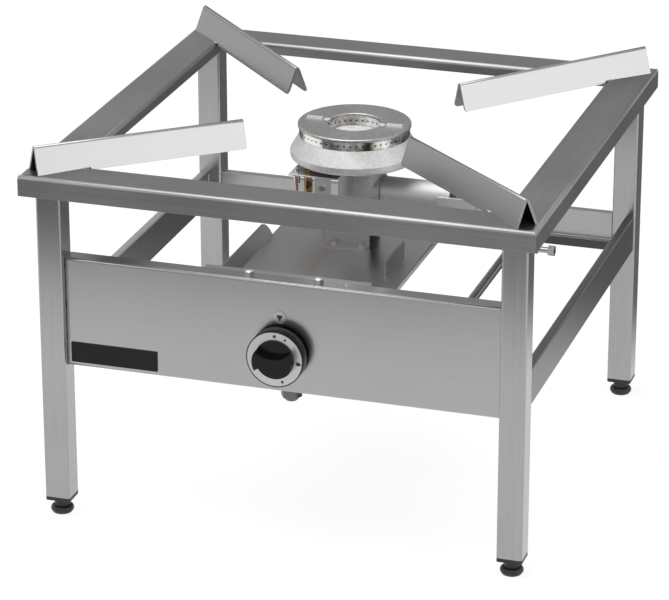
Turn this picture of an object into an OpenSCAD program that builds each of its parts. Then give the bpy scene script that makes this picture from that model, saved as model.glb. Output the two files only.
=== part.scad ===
/* [Frame] */
// Width over the top frame
frame_w = 600; // [560:1:680]
// Depth over the top frame
frame_d = 600; // [560:1:680]
// Height of the top frame's upper face above the floor
frame_top = 425; // [420:1:460]
// Width of one folded bar of the top frame
bar_w = 50; // [46:1:60]
// Height of a bar's outer skirt
bar_skirt = 25; // [20:1:35]
// Height of a bar's inner skirt
bar_lip = 14; // [8:1:20]
// Sheet thickness of the bars
bar_sheet = 2; // [1:0.5:3]
// Outside radius of the bars' folds
bar_bend = 5; // [4:0.5:7]

/* [Legs and feet] */
// Width of the square leg tube
leg_w = 30; // [26:1:32]
// Wall of the leg tube
leg_wall = 2; // [1:0.25:2.5]
// Outside corner radius of the leg tube
leg_round = 3; // [3:0.5:5]
// Distance from the frame's edge to the legs' outer faces
leg_inset = 13; // [6:1:16]
// Thickness of the square cap under a leg
cap_t = 4.6; // [3:0.1:7]
// Depth of the cap's plug inside the leg
cap_plug_h = 24; // [20:1:30]
// Radius of the round foot pad
pad_r = 13.5; // [12:0.5:17]
// Height of the foot pad
pad_h = 9; // [6:0.5:12]
// Radius of the neck above the pad
neck_r = 9; // [7:0.5:10]
// Height of the neck above the pad
neck_h = 9.1; // [6:0.1:14]
// Radius of the threaded foot stem
stem_r = 4; // [3:0.5:5]
// Length of the threaded foot stem
stem_l = 42; // [38:1:44]

/* [Rails] */
// Width of a side rail
rail_w = 11; // [8:0.5:14]
// Height of the rails
rail_h = 45.5; // [35:0.5:60]
// Wall of a side rail
rail_wall = 1.5; // [1:0.25:2.5]
// Outside corner radius of a side rail
rail_round = 2.5; // [2.5:0.5:4]
// Height of the rails' lower edges above the floor
rail_bottom = 198; // [160:1:230]
// Step from the legs' outer faces to the side rails
rail_step = 2; // [1:0.5:5]
// Depth of the back rail's top flange
back_flange = 12; // [8:0.5:20]
// Depth of the back rail's forward shelf
back_shelf = 8; // [5:0.5:12]
// Height of the lip under the shelf
back_lip_h = 9.6; // [6:0.1:14]
// Sheet thickness of the back rail
back_sheet = 2; // [1:0.25:2.5]

/* [Control panel] */
// Height of the panel's lower edge above the floor
panel_bottom = 189; // [180:1:200]
// Height of the panel
panel_h = 132; // [120:1:140]
// Step from the front legs' faces back to the panel
panel_step = 10; // [6:0.5:12]
// Depth of the panel's top flange
panel_flange = 20; // [17:0.5:24]
// Depth of the panel's side and bottom returns
panel_return = 15; // [10:0.5:18]
// Sheet thickness of the panel
panel_sheet = 1.5; // [1:0.25:2]
// Outside radius of the panel's folds
panel_bend = 3; // [2.5:0.5:4]

/* [Burner carrier] */
// Height of the tray floor's upper face above the floor
tray_floor = 272; // [265:1:280]
// Width of the tray floor
tray_w = 195; // [180:1:220]
// Length of the tray floor
tray_l = 321; // [310:1:340]
// Length of the tray's flared walls
tray_wall_l = 231; // [215:1:240]
// Height of the flared walls
tray_wall_h = 17; // [12:0.5:22]
// Outward flare of the walls
tray_flare = 9.5; // [5:0.5:14]
// Sheet thickness of the tray
tray_sheet = 2; // [1.5:0.25:2.5]
// Corner radius at the rear of the walls
tray_corner = 13; // [8:0.5:14]
// Distance from the panel's face to the tray's front wall
tray_set = 31; // [28:0.5:34]
// Depth of the tab bolted under the panel's flange
tray_tab = 21; // [18:0.5:24]
// Distance of the carrier bolts from the middle
bolt_x = 41; // [30:1:55]
// Distance of the small rivet from the middle
rivet_x = 74; // [65:1:85]
// Radius of the carrier bolts
bolt_r = 3; // [2.5:0.5:3.5]
// Radius of a carrier bolt's head
bolt_head_r = 5.2; // [4.5:0.1:6]
// Height of a carrier bolt's head
bolt_head_h = 4; // [3:0.5:5]
// Distance of the upright rib from the middle
rib_x = 70; // [60:1:80]
// Length of the upright rib
rib_l = 75; // [60:1:90]
// Height of the upright rib
rib_h = 18; // [12:0.5:24]

/* [Pot supports] */
// Length of a pot support
support_l = 260; // [240:1:275]
// Rise of a support's ridge above the frame at its outer end
support_h = 31; // [26:0.5:36]
// Width of a support on the frame
support_w = 27.6; // [24:0.2:32]
// Sheet thickness of a support
support_sheet = 3; // [2:0.25:3]
// Outside radius of a support's ridge
support_fold = 3.2; // [3.1:0.1:4]
// Distance from the frame's edges to the outer end of the ridge
support_inset = 15; // [12:0.5:20]
// Fall of the ridge towards the burner
support_fall = 8.5; // [2:0.5:12]
// Radius of the lower corners at the inner end
support_corner = 6; // [3:0.5:9]

/* [Burner] */
// Height of the burner's top face above the floor
burner_top = 419; // [415:0.5:424]
// Distance of the burner behind the middle of the frame
burner_set = 8; // [0:1:15]
// Radius of the crown
crown_r = 67; // [64:0.5:70]
// Radius of the crown's central hole
crown_hole_r = 31.5; // [28:0.5:34]
// Thickness of the crown
crown_t = 3.5; // [3:0.5:5]
// Outside radius of the ring of flame ports
port_ring_r = 65.5; // [63:0.5:66]
// Height of the ring of flame ports
port_ring_h = 10.5; // [9:0.5:12]
// Wall of the rings of flame ports
port_ring_wall = 2.6; // [2:0.1:3]
// Radius of one flame port
port_r = 1.1; // [0.8:0.1:1.4]
// Number of flame ports in the outer ring
port_count = 56; // [40:1:60]
// Number of flame ports in the inner ring
inner_port_count = 28; // [20:1:32]
// Length of the two ribs on the crown
crown_rib_l = 19; // [12:0.5:22]
// Width of the two ribs on the crown
crown_rib_w = 5; // [3:0.5:7]
// Height of the two ribs on the crown
crown_rib_h = 2; // [1:0.25:3]
// Radius of the two lugs at the crown's hole
crown_lug_r = 4; // [3:0.5:5]
// Largest radius of the burner's cast skirt
skirt_r = 76; // [73:0.5:80]
// Height of the skirt's cone
skirt_cone_h = 18; // [14:0.5:22]
// Height of the skirt's rounded lower edge
skirt_edge_h = 10; // [8:0.5:12]
// Wall of the casting
cast_wall = 5; // [4:0.5:6]
// Radius of the casting's neck
throat_r = 27; // [24:0.5:30]
// Distance of the neck beside the burner's axis
throat_set = 8; // [0:0.5:12]
// Depth of the mixing tube's axis below the skirt
tube_drop = 39.7; // [36:0.1:44]
// Outside radius of the mixing tube
tube_r = 18; // [16:0.5:20]
// Bore radius of the mixing tube
tube_bore_r = 14.5; // [12:0.5:15]
// Outside radius of the tube's collar
tube_collar_r = 21; // [21:0.5:23]
// Distance of the tube's mouth from the burner's axis
tube_reach = 121; // [110:1:130]

/* [Burner stand and injector] */
// Sheet thickness of the stand
stand_sheet = 2.5; // [2:0.25:3]
// Width of the stand
stand_w = 50; // [40:1:60]
// Depth between the stand's uprights
stand_d = 44; // [38:1:50]
// Depth of one foot of the stand
stand_foot = 16; // [14:0.5:20]
// Width of the yoke's strip
yoke_w = 14; // [10:0.5:18]
// Thickness of the yoke's strip
yoke_t = 3; // [2:0.25:4]
// Distance from the tube's mouth to the yoke's end plate
yoke_reach = 30; // [26:0.5:36]
// Radius of the injector's stem
injector_r = 6; // [5:0.5:7]
// Radius of the injector's hexagonal head
injector_head_r = 9; // [8:0.5:10]
// Radius of the air shutter
shutter_r = 15.5; // [14:0.5:16]
// Thickness of the air shutter
shutter_t = 2; // [1.5:0.5:3]
// Travel of the air shutter
shutter_travel = 8; // [6:0.5:10]

/* [Pilot] */
// Sheet thickness of the pilot bracket
pilot_sheet = 2; // [1.5:0.25:2.5]
// Width of the pilot bracket's upright plate
pilot_plate_w = 20; // [16:0.5:24]
// Height of the pilot bracket's upright plate
pilot_plate_h = 21; // [16:0.5:26]
// Distance of the pilot burner left of the burner's axis
pilot_x = 38; // [34:0.5:42]
// Distance of the thermocouple left of the burner's axis
probe_x = 52; // [49:0.5:56]
// Distance of the pilot in front of the burner's axis
pilot_y = 60; // [56:0.5:64]
// Radius of the pilot burner's body
pilot_r = 5; // [4:0.5:6]
// Height of the pilot burner's body
pilot_h = 20; // [16:0.5:24]
// Radius of the thermocouple's probe
probe_r = 2.5; // [2:0.25:3]
// Radius of the thermocouple's nut
probe_nut_r = 4; // [3.5:0.25:4.5]
// Outside radius of the pilot pipe
pilot_pipe_r = 2; // [1.5:0.25:3]
// Radius of the thermocouple's stiff lead
lead_r = 1.5; // [1:0.25:2]

/* [Gas tap] */
// Height of the tap's spindle above the panel's lower edge
tap_rise = 47; // [41:1:53]
// Radius of the tap's barrel
tap_r = 12; // [10:0.5:14]
// Length of the tap's barrel behind the panel
tap_l = 58; // [54:0.5:64]
// Radius of the tap's lower chamber
chamber_r = 10; // [9:0.5:12]
// Radius of the magnet unit's nut
magnet_r = 11; // [10.5:0.5:13]
// Height of the magnet unit
magnet_h = 15; // [12:0.5:18]
// Depth of the tap's lower end below the spindle
tap_drop = 73; // [68:0.5:76]
// Distance of the lower chamber behind the panel's face
chamber_set = 40; // [36:0.5:42]
// Radius of the tap's threaded bush
bush_r = 7; // [6:0.5:8]
// Length of the bush in front of the panel
bush_reach = 3; // [2:0.5:3.5]
// Radius of the spindle
spindle_r = 4; // [3:0.5:5]
// Travel of the knob when it is pushed
push_travel = 4; // [2:0.5:4]

/* [Knob] */
// Radius of the knob's skirt
knob_r = 33.5; // [30:0.5:36]
// Distance from the panel to the dial's face
dial_set = 20; // [18:0.5:22]
// Gap between the panel and the knob's skirt
knob_gap = 5.5; // [5:0.5:6]
// Wall of the knob
knob_wall = 2.5; // [2:0.25:3]
// Width of the black rim around the dial
dial_rim = 1.2; // [0.8:0.1:2]
// Thickness of the dial ring
dial_t = 1; // [0.5:0.25:1.5]
// Radius of the grip
grip_r = 23; // [20:0.5:25]
// Rise of the grip above the dial
grip_h = 12.6; // [10:0.2:15]
// Width of the grip at its waist
grip_waist = 8; // [6:0.5:10]
// Width of the grip at its ends
grip_end_w = 22.4; // [18:0.2:26]
// Rise of the grip's scoops above the dial
scoop_rise = 2; // [1:0.25:3]
// Radius of the index disc
index_r = 7.3; // [6:0.1:8]
// Height of the index disc above the spindle
index_rise = 43; // [42:0.5:48]
// Thickness of the index disc
index_t = 1.2; // [0.8:0.1:2]

/* [Gas pipes] */
// Outside radius of the feed pipe
feed_r = 5.4; // [4:0.2:6]
// Bend radius of the feed pipe
feed_bend = 16; // [12:0.5:18]
// Reach of the feed pipe past the injector's head
feed_run = 40; // [36:1:48]
// Height of the feed pipe's rear run above the floor
feed_z = 293; // [290:0.5:297]
// Outside radius of the supply pipe
supply_r = 6; // [5:0.5:7]
// Bend radius of the supply pipe
supply_bend = 18; // [14:0.5:20]
// Depth of the supply pipe below the tap's spindle
supply_drop = 45.5; // [44:0.5:48]
// Distance of the supply pipe left of the middle
supply_x = 44; // [40:1:50]
// Distance of the gas inlet right of the middle
inlet_x = 187.5; // [180:0.5:210]
// Distance from the frame's rear edge to the gas inlet
inlet_set = 52.3; // [50:0.1:56]
// Radius of the inlet stub
inlet_r = 3.8; // [3.6:0.1:5]
// Length of the inlet stub
inlet_l = 22; // [16:0.5:28]
// Radius of the inlet nut
inlet_nut_r = 6; // [5.5:0.25:8]
// Length of the inlet nut
inlet_nut_l = 8; // [6:0.5:12]
// Bore radius of the inlet nut
inlet_bore_r = 3; // [2:0.25:3.5]

/* [Hidden] */
$fn = 48;

// Radial clearance of a shaft that turns or slides in its bore
running = 0.05;
// Gap that keeps bodies apart
gap = 0.3;
// Overrun of every cut past the faces it opens
over = 1;
// Share of a size that its chamfers, flats and lugs take
chamfer_share = 0.25;
// Share of a body's radius that its slimmer neck has
neck_share = 0.667;
// Share of a size that a nozzle or taper keeps
mouth_share = 0.333;
// Share of the tap's length that its plunger has
plunger_share = 0.167;
// Sides of a nut
hex_sides = 6;
// Facets of a flame port
port_sides = 16;
// Degrees of a full turn
full_turn = 360;

// Reach of the knob in front of the frame, shared by both sides of the origin
knob_reach = leg_front_inset() + panel_step - (dial_set + grip_h);
frame_mid_y = -min(knob_reach, 0) / 2;
frame_front_y = frame_mid_y - frame_d / 2;
frame_back_y = frame_mid_y + frame_d / 2;
frame_under = frame_top - bar_sheet;

function leg_front_inset() = bar_w - bar_sheet - leg_w;

leg_x = frame_w / 2 - leg_inset - leg_w / 2;
leg_front_y = frame_front_y + leg_front_inset() + leg_w / 2;
leg_back_y = frame_back_y - leg_inset - leg_w / 2;
leg_inner_x = leg_x - leg_w / 2;
leg_bottom = pad_h + neck_h + gap + cap_t;
cap_bottom = leg_bottom - cap_t;
stem_bottom = pad_h;

rail_front_y = leg_front_y + leg_w / 2;
rail_back_y = leg_back_y - leg_w / 2;
rail_outer_x = leg_x + leg_w / 2 - rail_step;
back_web_y = rail_back_y + rail_step;

panel_y = leg_front_y - leg_w / 2 + panel_step;
panel_back_y = panel_y + panel_sheet;
panel_top = panel_bottom + panel_h;

tray_front_y = panel_y + tray_set;
tray_tab_top = panel_top - panel_sheet;
bolt_y = panel_y + panel_flange - bolt_head_r;
bolt_under = tray_tab_top - tray_sheet;
nut_h = bolt_head_h;
nut_r = bolt_head_r;
rivet_r = bolt_r / 2;
rib_y = tray_front_y + tray_wall_l - rib_l - tray_corner - tray_sheet;

support_half = support_w / 2;
support_reach = norm([support_half, support_h - support_fold]);
support_angle = acos(support_fold / support_reach) - atan2(support_h - support_fold, support_half);
support_tilt = asin(support_fall / support_l);
flank_drop = support_h - support_fold + support_fold * sin(support_angle);
flank_l = flank_drop / cos(support_angle) + support_sheet * tan(support_angle);

burner_y = frame_mid_y + burner_set;
crown_under = burner_top - crown_t;
ring_bottom = crown_under - port_ring_h;
body_top = ring_bottom - gap;
skirt_top_r = port_ring_r;
trough_r = skirt_top_r - cast_wall;
boss_r = crown_hole_r + port_ring_wall + gap;
skirt_low = body_top - skirt_cone_h - skirt_edge_h;
tube_z = skirt_low - tube_drop;
trough_floor = skirt_low + cast_wall;
ring_lip_h = cast_wall;
chamfer = crown_t * chamfer_share;
lug_h = crown_rib_h * chamfer_share;
throat_x = throat_set;
throat_foot = tube_z - tube_collar_r - cast_wall;

stand_screw_r = bolt_r / 2;
stand_screw_x = stand_w / 2 - stand_foot / 2;
stand_screw_y = stand_d / 2 + stand_foot / 2;

yoke_end_x = tube_reach + yoke_reach;
nozzle_l = yoke_reach - tube_r * mouth_share;
shutter_x = yoke_end_x - shutter_travel - shutter_t - gap;
injector_head_l = injector_r;
injector_end_x = yoke_end_x + yoke_t + injector_head_l;
feed_x = injector_end_x + feed_run;

pilot_neck_r = pilot_r * neck_share;
pilot_shelf_z = skirt_low - cast_wall - pilot_sheet - over;
pilot_top = skirt_low - gap;
pilot_at = [-pilot_x, burner_y - pilot_y];
probe_at = [-probe_x, burner_y - pilot_y];
pilot_bottom = pilot_shelf_z - pilot_h;
probe_bottom = pilot_shelf_z - pilot_h / 2;

tap_z = panel_bottom + tap_rise;
magnet_bottom = tap_z - tap_drop;
tap_front_y = panel_back_y;
tap_back_y = panel_y + tap_l;
chamber_y = panel_y + chamber_set;
chamber_bottom = magnet_bottom + magnet_h;
tap_port_r = feed_r + panel_sheet;
tap_port_reach = tap_r + feed_bend / 2;
spindle_back_y = tap_front_y + tap_l / 2;
plunger_r = spindle_r / 2;
plunger_l = tap_l * plunger_share;
plunger_bore_back_y = spindle_back_y + plunger_l + push_travel + over;

dial_y = panel_y - dial_set;
knob_back_y = panel_y - knob_gap;
knob_boss_back_y = dial_y + knob_wall + push_travel;
spindle_front_y = dial_y - scoop_rise;
scoop_half = grip_end_w / 2 - grip_waist / 2;
scoop_span = sqrt(pow(grip_r, 2) - pow(grip_end_w / 2, 2));
scoop_r = (pow(scoop_span, 2) + pow(scoop_half, 2)) / (2 * scoop_half);
flat_depth = spindle_r * chamfer_share;

supply_z = tap_z - supply_drop;
inlet_y = frame_back_y - inlet_set;
service_bend = pilot_pipe_r + cast_wall;
service_y = burner_y + throat_r + feed_bend;
service_low = tube_z - 2 * tube_r + over;
service_z = supply_z + supply_r + feed_bend;
hole_gap = panel_bend;

steel = "silver";
dark = "dimgray";
cast = "lightgray";
gold = "goldenrod";
copper = "peru";
black = "black";

// A flat outline with rounded corners, centred
module rounded(w, h, r) {
    square([w - 2 * r, h], center = true);
    square([w, h - 2 * r], center = true);
    for (x = [-1, 1], y = [-1, 1])
        translate([x * (w / 2 - r), y * (h / 2 - r)]) circle(r);
}

// A quarter of a fold, from the right-hand side up to the top
module fold(r, sheet) {
    intersection() {
        difference() {
            circle(r);
            circle(r - sheet);
        }
        square(r);
    }
}

// A channel that opens downwards, its outer edge at the left and its top at zero
module channel(w, left_h, right_h, sheet, bend) {
    translate([bend, -sheet]) square([w - 2 * bend, sheet]);
    translate([0, -left_h]) square([sheet, left_h - bend]);
    translate([w - sheet, -right_h]) square([sheet, right_h - bend]);
    translate([w - bend, -bend]) fold(bend, sheet);
    translate([bend, -bend]) mirror([1, 0]) fold(bend, sheet);
}

// An outline in Y and Z, run along X about the middle
module run_x(length) {
    rotate([90, 0, 90]) linear_extrude(length, center = true) children();
}

// An outline in X and Z, run along Y from the given place towards the back
module run_y(from_y, length) {
    translate([0, from_y + length, 0]) rotate([90, 0, 0]) linear_extrude(length) children();
}

// Turns an upright piece to point at the viewer in front
module face_front(x, y, z) {
    translate([x, y, z]) rotate([90, 0, 0]) children();
}

// Turns an upright piece to point to the right
module face_right(x, y, z) {
    translate([x, y, z]) rotate([0, 90, 0]) children();
}

// A hexagonal prism, its radius measured to the flats
module hexagon(r, h) {
    cylinder(r = r / cos(full_turn / (2 * hex_sides)), h = h, $fn = hex_sides);
}

function unit(v) = v / norm(v);

module straight(from, to, r) {
    way = to - from;
    translate(from)
        rotate([0, acos(way.z / norm(way)), atan2(way.y, way.x)])
            cylinder(r = r, h = norm(way));
}

// A quarter bend at a corner where a pipe comes in along one way and leaves along another
module elbow(at, way_in, way_out, r, bend) {
    side = cross(way_in, way_out);
    multmatrix([for (i = [0:2]) [way_in[i], way_out[i], side[i], at[i]]])
        translate([-bend, bend, 0]) rotate(-90)
            rotate_extrude(angle = 90) translate([bend, 0]) circle(r);
}

// A pipe through square corners, each one bent to the same radius
module pipe(path, r, bend) {
    last = len(path) - 1;
    for (i = [1:last]) {
        way = unit(path[i] - path[i - 1]);
        from = path[i - 1] + (i > 1 ? bend : 0) * way;
        to = path[i] - (i < last ? bend : 0) * way;
        straight(from, to, r);
        if (i < last) elbow(path[i], way, unit(path[i + 1] - path[i]), r, bend);
    }
}

module frame_bar(span, reach) {
    color(steel) translate([0, 0, frame_top]) intersection() {
        translate([0, -reach, 0]) run_x(span)
            channel(bar_w, bar_skirt, bar_lip, bar_sheet, bar_bend);
        translate([0, 0, -bar_skirt - over]) linear_extrude(bar_skirt + 2 * over)
            polygon([
                [-span / 2, -reach], [span / 2, -reach],
                [span / 2 - bar_w, bar_w - reach], [bar_w - span / 2, bar_w - reach]
            ]);
    }
}

module top_frame_front() translate([0, frame_mid_y, 0]) frame_bar(frame_w, frame_d / 2);
module top_frame_back() translate([0, frame_mid_y, 0]) rotate(180) frame_bar(frame_w, frame_d / 2);
module top_frame_left() translate([0, frame_mid_y, 0]) rotate(-90) frame_bar(frame_d, frame_w / 2);
module top_frame_right() translate([0, frame_mid_y, 0]) rotate(90) frame_bar(frame_d, frame_w / 2);

module leg(x, y) {
    color(steel) translate([x, y, leg_bottom]) linear_extrude(frame_under - leg_bottom)
        difference() {
            rounded(leg_w, leg_w, leg_round);
            rounded(leg_w - 2 * leg_wall, leg_w - 2 * leg_wall, leg_round - leg_wall);
        }
}

module leg_front_left() leg(-leg_x, leg_front_y);
module leg_front_right() leg(leg_x, leg_front_y);
module leg_back_left() leg(-leg_x, leg_back_y);
module leg_back_right() leg(leg_x, leg_back_y);

// Square plastic cap whose plug fills the tube and guides the stem
module foot_cap(x, y) {
    plug_w = leg_w - 2 * leg_wall - 2 * running;
    color(black) translate([x, y, cap_bottom]) difference() {
        union() {
            linear_extrude(cap_t) rounded(leg_w, leg_w, leg_round);
            linear_extrude(cap_t + cap_plug_h) rounded(plug_w, plug_w, leg_round - leg_wall);
        }
        translate([0, 0, -over]) cylinder(r = stem_r + running, h = cap_t + cap_plug_h + 2 * over);
    }
}

module foot_cap_front_left() foot_cap(-leg_x, leg_front_y);
module foot_cap_front_right() foot_cap(leg_x, leg_front_y);
module foot_cap_back_left() foot_cap(-leg_x, leg_back_y);
module foot_cap_back_right() foot_cap(leg_x, leg_back_y);

// Round pad with a bulged rim, and the neck that holds the stem
module foot_pad(x, y) {
    rim = pad_h / 2;
    color(black) translate([x, y, 0]) rotate_extrude() difference() {
        union() {
            square([pad_r - rim, pad_h]);
            translate([pad_r - rim, rim]) circle(rim);
            square([neck_r, pad_h + neck_h]);
            square([pad_r - rim / 2, rim]);
        }
        translate([-pad_r, -over]) square([pad_r, pad_h + neck_h + 2 * over]);
        translate([0, stem_bottom]) square([stem_r + running, neck_h + over]);
    }
}

module foot_pad_front_left() foot_pad(-leg_x, leg_front_y);
module foot_pad_front_right() foot_pad(leg_x, leg_front_y);
module foot_pad_back_left() foot_pad(-leg_x, leg_back_y);
module foot_pad_back_right() foot_pad(leg_x, leg_back_y);

module foot_stem(x, y) {
    color(dark) translate([x, y, stem_bottom]) cylinder(r = stem_r, h = stem_l);
}

module foot_stem_front_left() foot_stem(-leg_x, leg_front_y);
module foot_stem_front_right() foot_stem(leg_x, leg_front_y);
module foot_stem_back_left() foot_stem(-leg_x, leg_back_y);
module foot_stem_back_right() foot_stem(leg_x, leg_back_y);

module side_rail(side) {
    color(steel)
        translate([side * (rail_outer_x - rail_w / 2), 0, rail_bottom + rail_h / 2])
            run_y(rail_front_y, rail_back_y - rail_front_y) difference() {
                rounded(rail_w, rail_h, rail_round);
                rounded(rail_w - 2 * rail_wall, rail_h - 2 * rail_wall, rail_round - rail_wall);
            }
}

module rail_left() side_rail(-1);
module rail_right() side_rail(1);

// Folded sheet with a top flange turned back, and a shelf and lip turned forward
module rail_back() {
    web_h = rail_h - back_lip_h;
    color(steel) translate([0, back_web_y, rail_bottom]) run_x(2 * leg_inner_x) {
        translate([0, rail_h - back_sheet]) square([back_flange, back_sheet]);
        translate([0, back_lip_h]) square([back_sheet, web_h]);
        translate([-back_shelf, back_lip_h]) square([back_shelf + back_sheet, back_sheet]);
        translate([-back_shelf, 0]) square([back_sheet, back_lip_h + back_sheet]);
    }
}

// The panel's section, its front face at zero and its lower edge at the base
module panel_outline() {
    translate([0, panel_bend]) square([panel_sheet, panel_h - 2 * panel_bend]);
    translate([panel_bend, panel_h - panel_bend]) mirror([1, 0]) fold(panel_bend, panel_sheet);
    translate([panel_bend, panel_h - panel_sheet]) square([panel_flange - panel_bend, panel_sheet]);
    translate([panel_bend, panel_bend]) rotate(180) fold(panel_bend, panel_sheet);
    translate([panel_bend, 0]) square([panel_return - panel_bend, panel_sheet]);
}

// Holes for the carrier's bolts and rivet, through whatever lies between two heights
module bolt_holes(low, high) {
    for (x = [-bolt_x, bolt_x])
        translate([x, bolt_y, low]) cylinder(r = bolt_r + running, h = high - low);
    translate([rivet_x, bolt_y, low]) cylinder(r = rivet_r + running, h = high - low);
}

// Front sheet folded back on all four sides, with the tap's hole and the bolts' holes
module control_panel() {
    color(steel) difference() {
        union() {
            translate([0, panel_y, panel_bottom]) run_x(2 * leg_inner_x) panel_outline();
            for (side = [0, 1]) mirror([side, 0, 0])
                translate([leg_inner_x - panel_sheet, panel_back_y, panel_bottom + panel_sheet])
                    cube([panel_sheet, panel_return - panel_sheet, panel_h - 2 * panel_sheet]);
        }
        face_front(0, panel_back_y + over, tap_z)
            cylinder(r = bush_r + running, h = panel_sheet + 2 * over);
        bolt_holes(panel_top - panel_sheet - over, panel_top + over);
    }
}

// The tray's section: a floor with flared walls
module tray_outline() {
    wall = tray_sheet * norm([tray_flare, tray_wall_h]) / tray_wall_h;
    translate([-tray_w / 2, -tray_sheet]) square([tray_w, tray_sheet]);
    for (side = [0, 1]) mirror([side, 0])
        polygon([
            [tray_w / 2 - wall, -tray_sheet], [tray_w / 2, -tray_sheet],
            [tray_w / 2 + tray_flare, tray_wall_h], [tray_w / 2 + tray_flare - wall, tray_wall_h]
        ]);
}

// The tray seen from its side: walls that end in a round corner, floor that runs on
module tray_side() {
    translate([0, -tray_sheet - over]) square([tray_l, tray_sheet + over]);
    square([tray_wall_l - tray_corner, tray_wall_h + over]);
    square([tray_wall_l, tray_wall_h - tray_corner]);
    translate([tray_wall_l - tray_corner, tray_wall_h - tray_corner]) circle(tray_corner);
}

// Folded tray bolted under the panel's flange, which carries the burner
module burner_carrier() {
    color(steel) difference() {
        union() {
            intersection() {
                translate([0, 0, tray_floor]) run_y(tray_front_y, tray_l) tray_outline();
                translate([0, tray_front_y, tray_floor])
                    run_x(tray_w + 2 * tray_flare + 2 * over) tray_side();
            }
            translate([-tray_w / 2, tray_front_y, tray_floor - tray_sheet])
                cube([tray_w, tray_sheet, tray_tab_top - tray_floor + tray_sheet]);
            translate([-tray_w / 2, tray_front_y + tray_sheet - tray_tab, bolt_under])
                cube([tray_w, tray_tab, tray_sheet]);
            translate([rib_x, rib_y, tray_floor - tray_sheet])
                cube([tray_sheet, rib_l, rib_h + tray_sheet]);
        }
        bolt_holes(bolt_under - over, tray_tab_top + over);
        for (line = [[-pilot_x, pilot_pipe_r], [-probe_x, lead_r]])
            translate([line.x, service_y, tray_floor - tray_sheet - over])
                cylinder(r = line.y + hole_gap, h = tray_sheet + 2 * over);
        for (x = [-stand_screw_x, stand_screw_x], y = [-stand_screw_y, stand_screw_y])
            translate([x, burner_y + y, tray_floor - tray_sheet - over])
                cylinder(r = stand_screw_r + running, h = tray_sheet + 2 * over);
    }
}

// Domed hexagon heads above the flange, their shanks passing through the tab
module carrier_bolts() {
    color(steel) {
        for (x = [-bolt_x, bolt_x]) translate([x, bolt_y, panel_top]) {
            hexagon(bolt_head_r, bolt_head_h);
            translate([0, 0, bolt_under - nut_h - over - panel_top])
                cylinder(r = bolt_r, h = panel_top + nut_h + over - bolt_under);
            translate([0, 0, bolt_head_h])
                cylinder(r1 = bolt_head_r, r2 = bolt_r, h = bolt_head_h * chamfer_share);
        }
        translate([rivet_x, bolt_y, panel_top]) {
            cylinder(r1 = bolt_r, r2 = rivet_r, h = rivet_r);
            translate([0, 0, bolt_under - panel_top])
                cylinder(r = rivet_r, h = panel_top - bolt_under);
        }
    }
}

module carrier_nuts() {
    color(steel) for (x = [-bolt_x, bolt_x]) translate([x, bolt_y, bolt_under - nut_h])
        difference() {
            hexagon(nut_r, nut_h);
            translate([0, 0, -over]) cylinder(r = bolt_r + running, h = nut_h + 2 * over);
        }
}

// The support's section: two flanks hanging from a rounded ridge, its top at zero
module ridge_outline() {
    side_way = [cos(support_angle), sin(support_angle)];
    translate([0, -support_fold]) {
        for (side = [0, 1]) mirror([side, 0]) rotate(support_angle)
            translate([support_fold - support_sheet, -flank_l]) square([support_sheet, flank_l]);
        intersection() {
            difference() {
                circle(support_fold);
                circle(support_fold - support_sheet);
            }
            polygon([
                [0, 0], 2 * support_fold * side_way, [2 * support_fold, 2 * support_fold],
                [-2 * support_fold, 2 * support_fold],
                [-2 * support_fold * side_way.x, 2 * support_fold * side_way.y]
            ]);
        }
    }
}

// The support seen from its side: a straight lower edge and a rounded inner corner
module support_side() {
    drop = support_h + support_sheet;
    translate([0, -drop]) {
        square([support_l - support_corner, drop + over]);
        translate([0, support_corner]) square([support_l, drop + over - support_corner]);
        translate([support_l - support_corner, support_corner]) circle(support_corner);
    }
}

// Folded angle that leans from a corner towards the burner, notched over the frame
module pot_support(side_x, side_y) {
    end_x = side_x * (frame_w / 2 - support_inset);
    end_y = frame_mid_y + side_y * (frame_d / 2 - support_inset);
    open_w = frame_w - 2 * bar_w - 2 * gap;
    open_d = frame_d - 2 * bar_w - 2 * gap;
    color(steel) difference() {
        translate([end_x, end_y, frame_top + support_h])
            rotate([0, support_tilt, atan2(-side_y, -side_x)]) intersection() {
                translate([support_l / 2, 0, 0]) run_x(support_l) ridge_outline();
                rotate([90, 0, 0]) linear_extrude(2 * support_w, center = true) support_side();
            }
        translate([0, frame_mid_y, frame_top - support_h]) difference() {
            translate([-frame_w / 2, -frame_d / 2, 0]) cube([frame_w, frame_d, support_h]);
            translate([-open_w / 2, -open_d / 2, -over]) cube([open_w, open_d, support_h + 2 * over]);
        }
    }
}

module pot_support_front_left() pot_support(-1, -1);
module pot_support_front_right() pot_support(1, -1);
module pot_support_back_left() pot_support(-1, 1);
module pot_support_back_right() pot_support(1, 1);

// Half outline of the cast bowl: skirt, rounded edge, sloping underside and centre boss
module bowl_outline() {
    edge = skirt_edge_h / 2;
    polygon([
        [0, body_top - cast_wall], [boss_r - cast_wall, body_top - cast_wall],
        [boss_r - cast_wall, body_top], [boss_r, body_top],
        [boss_r, trough_floor], [trough_r, trough_floor],
        [trough_r, body_top], [skirt_top_r, body_top],
        [skirt_r, body_top - skirt_cone_h], [skirt_r, skirt_low + edge],
        [skirt_r - edge, skirt_low + edge], [skirt_r - edge, skirt_low],
        [skirt_r - 2 * edge, skirt_low], [throat_r, skirt_low - cast_wall],
        [0, skirt_low - cast_wall]
    ]);
    intersection() {
        translate([skirt_r - edge, skirt_low + edge]) circle(edge);
        translate([skirt_r - edge - over, skirt_low]) square([edge + over, edge + over]);
    }
}

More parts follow.
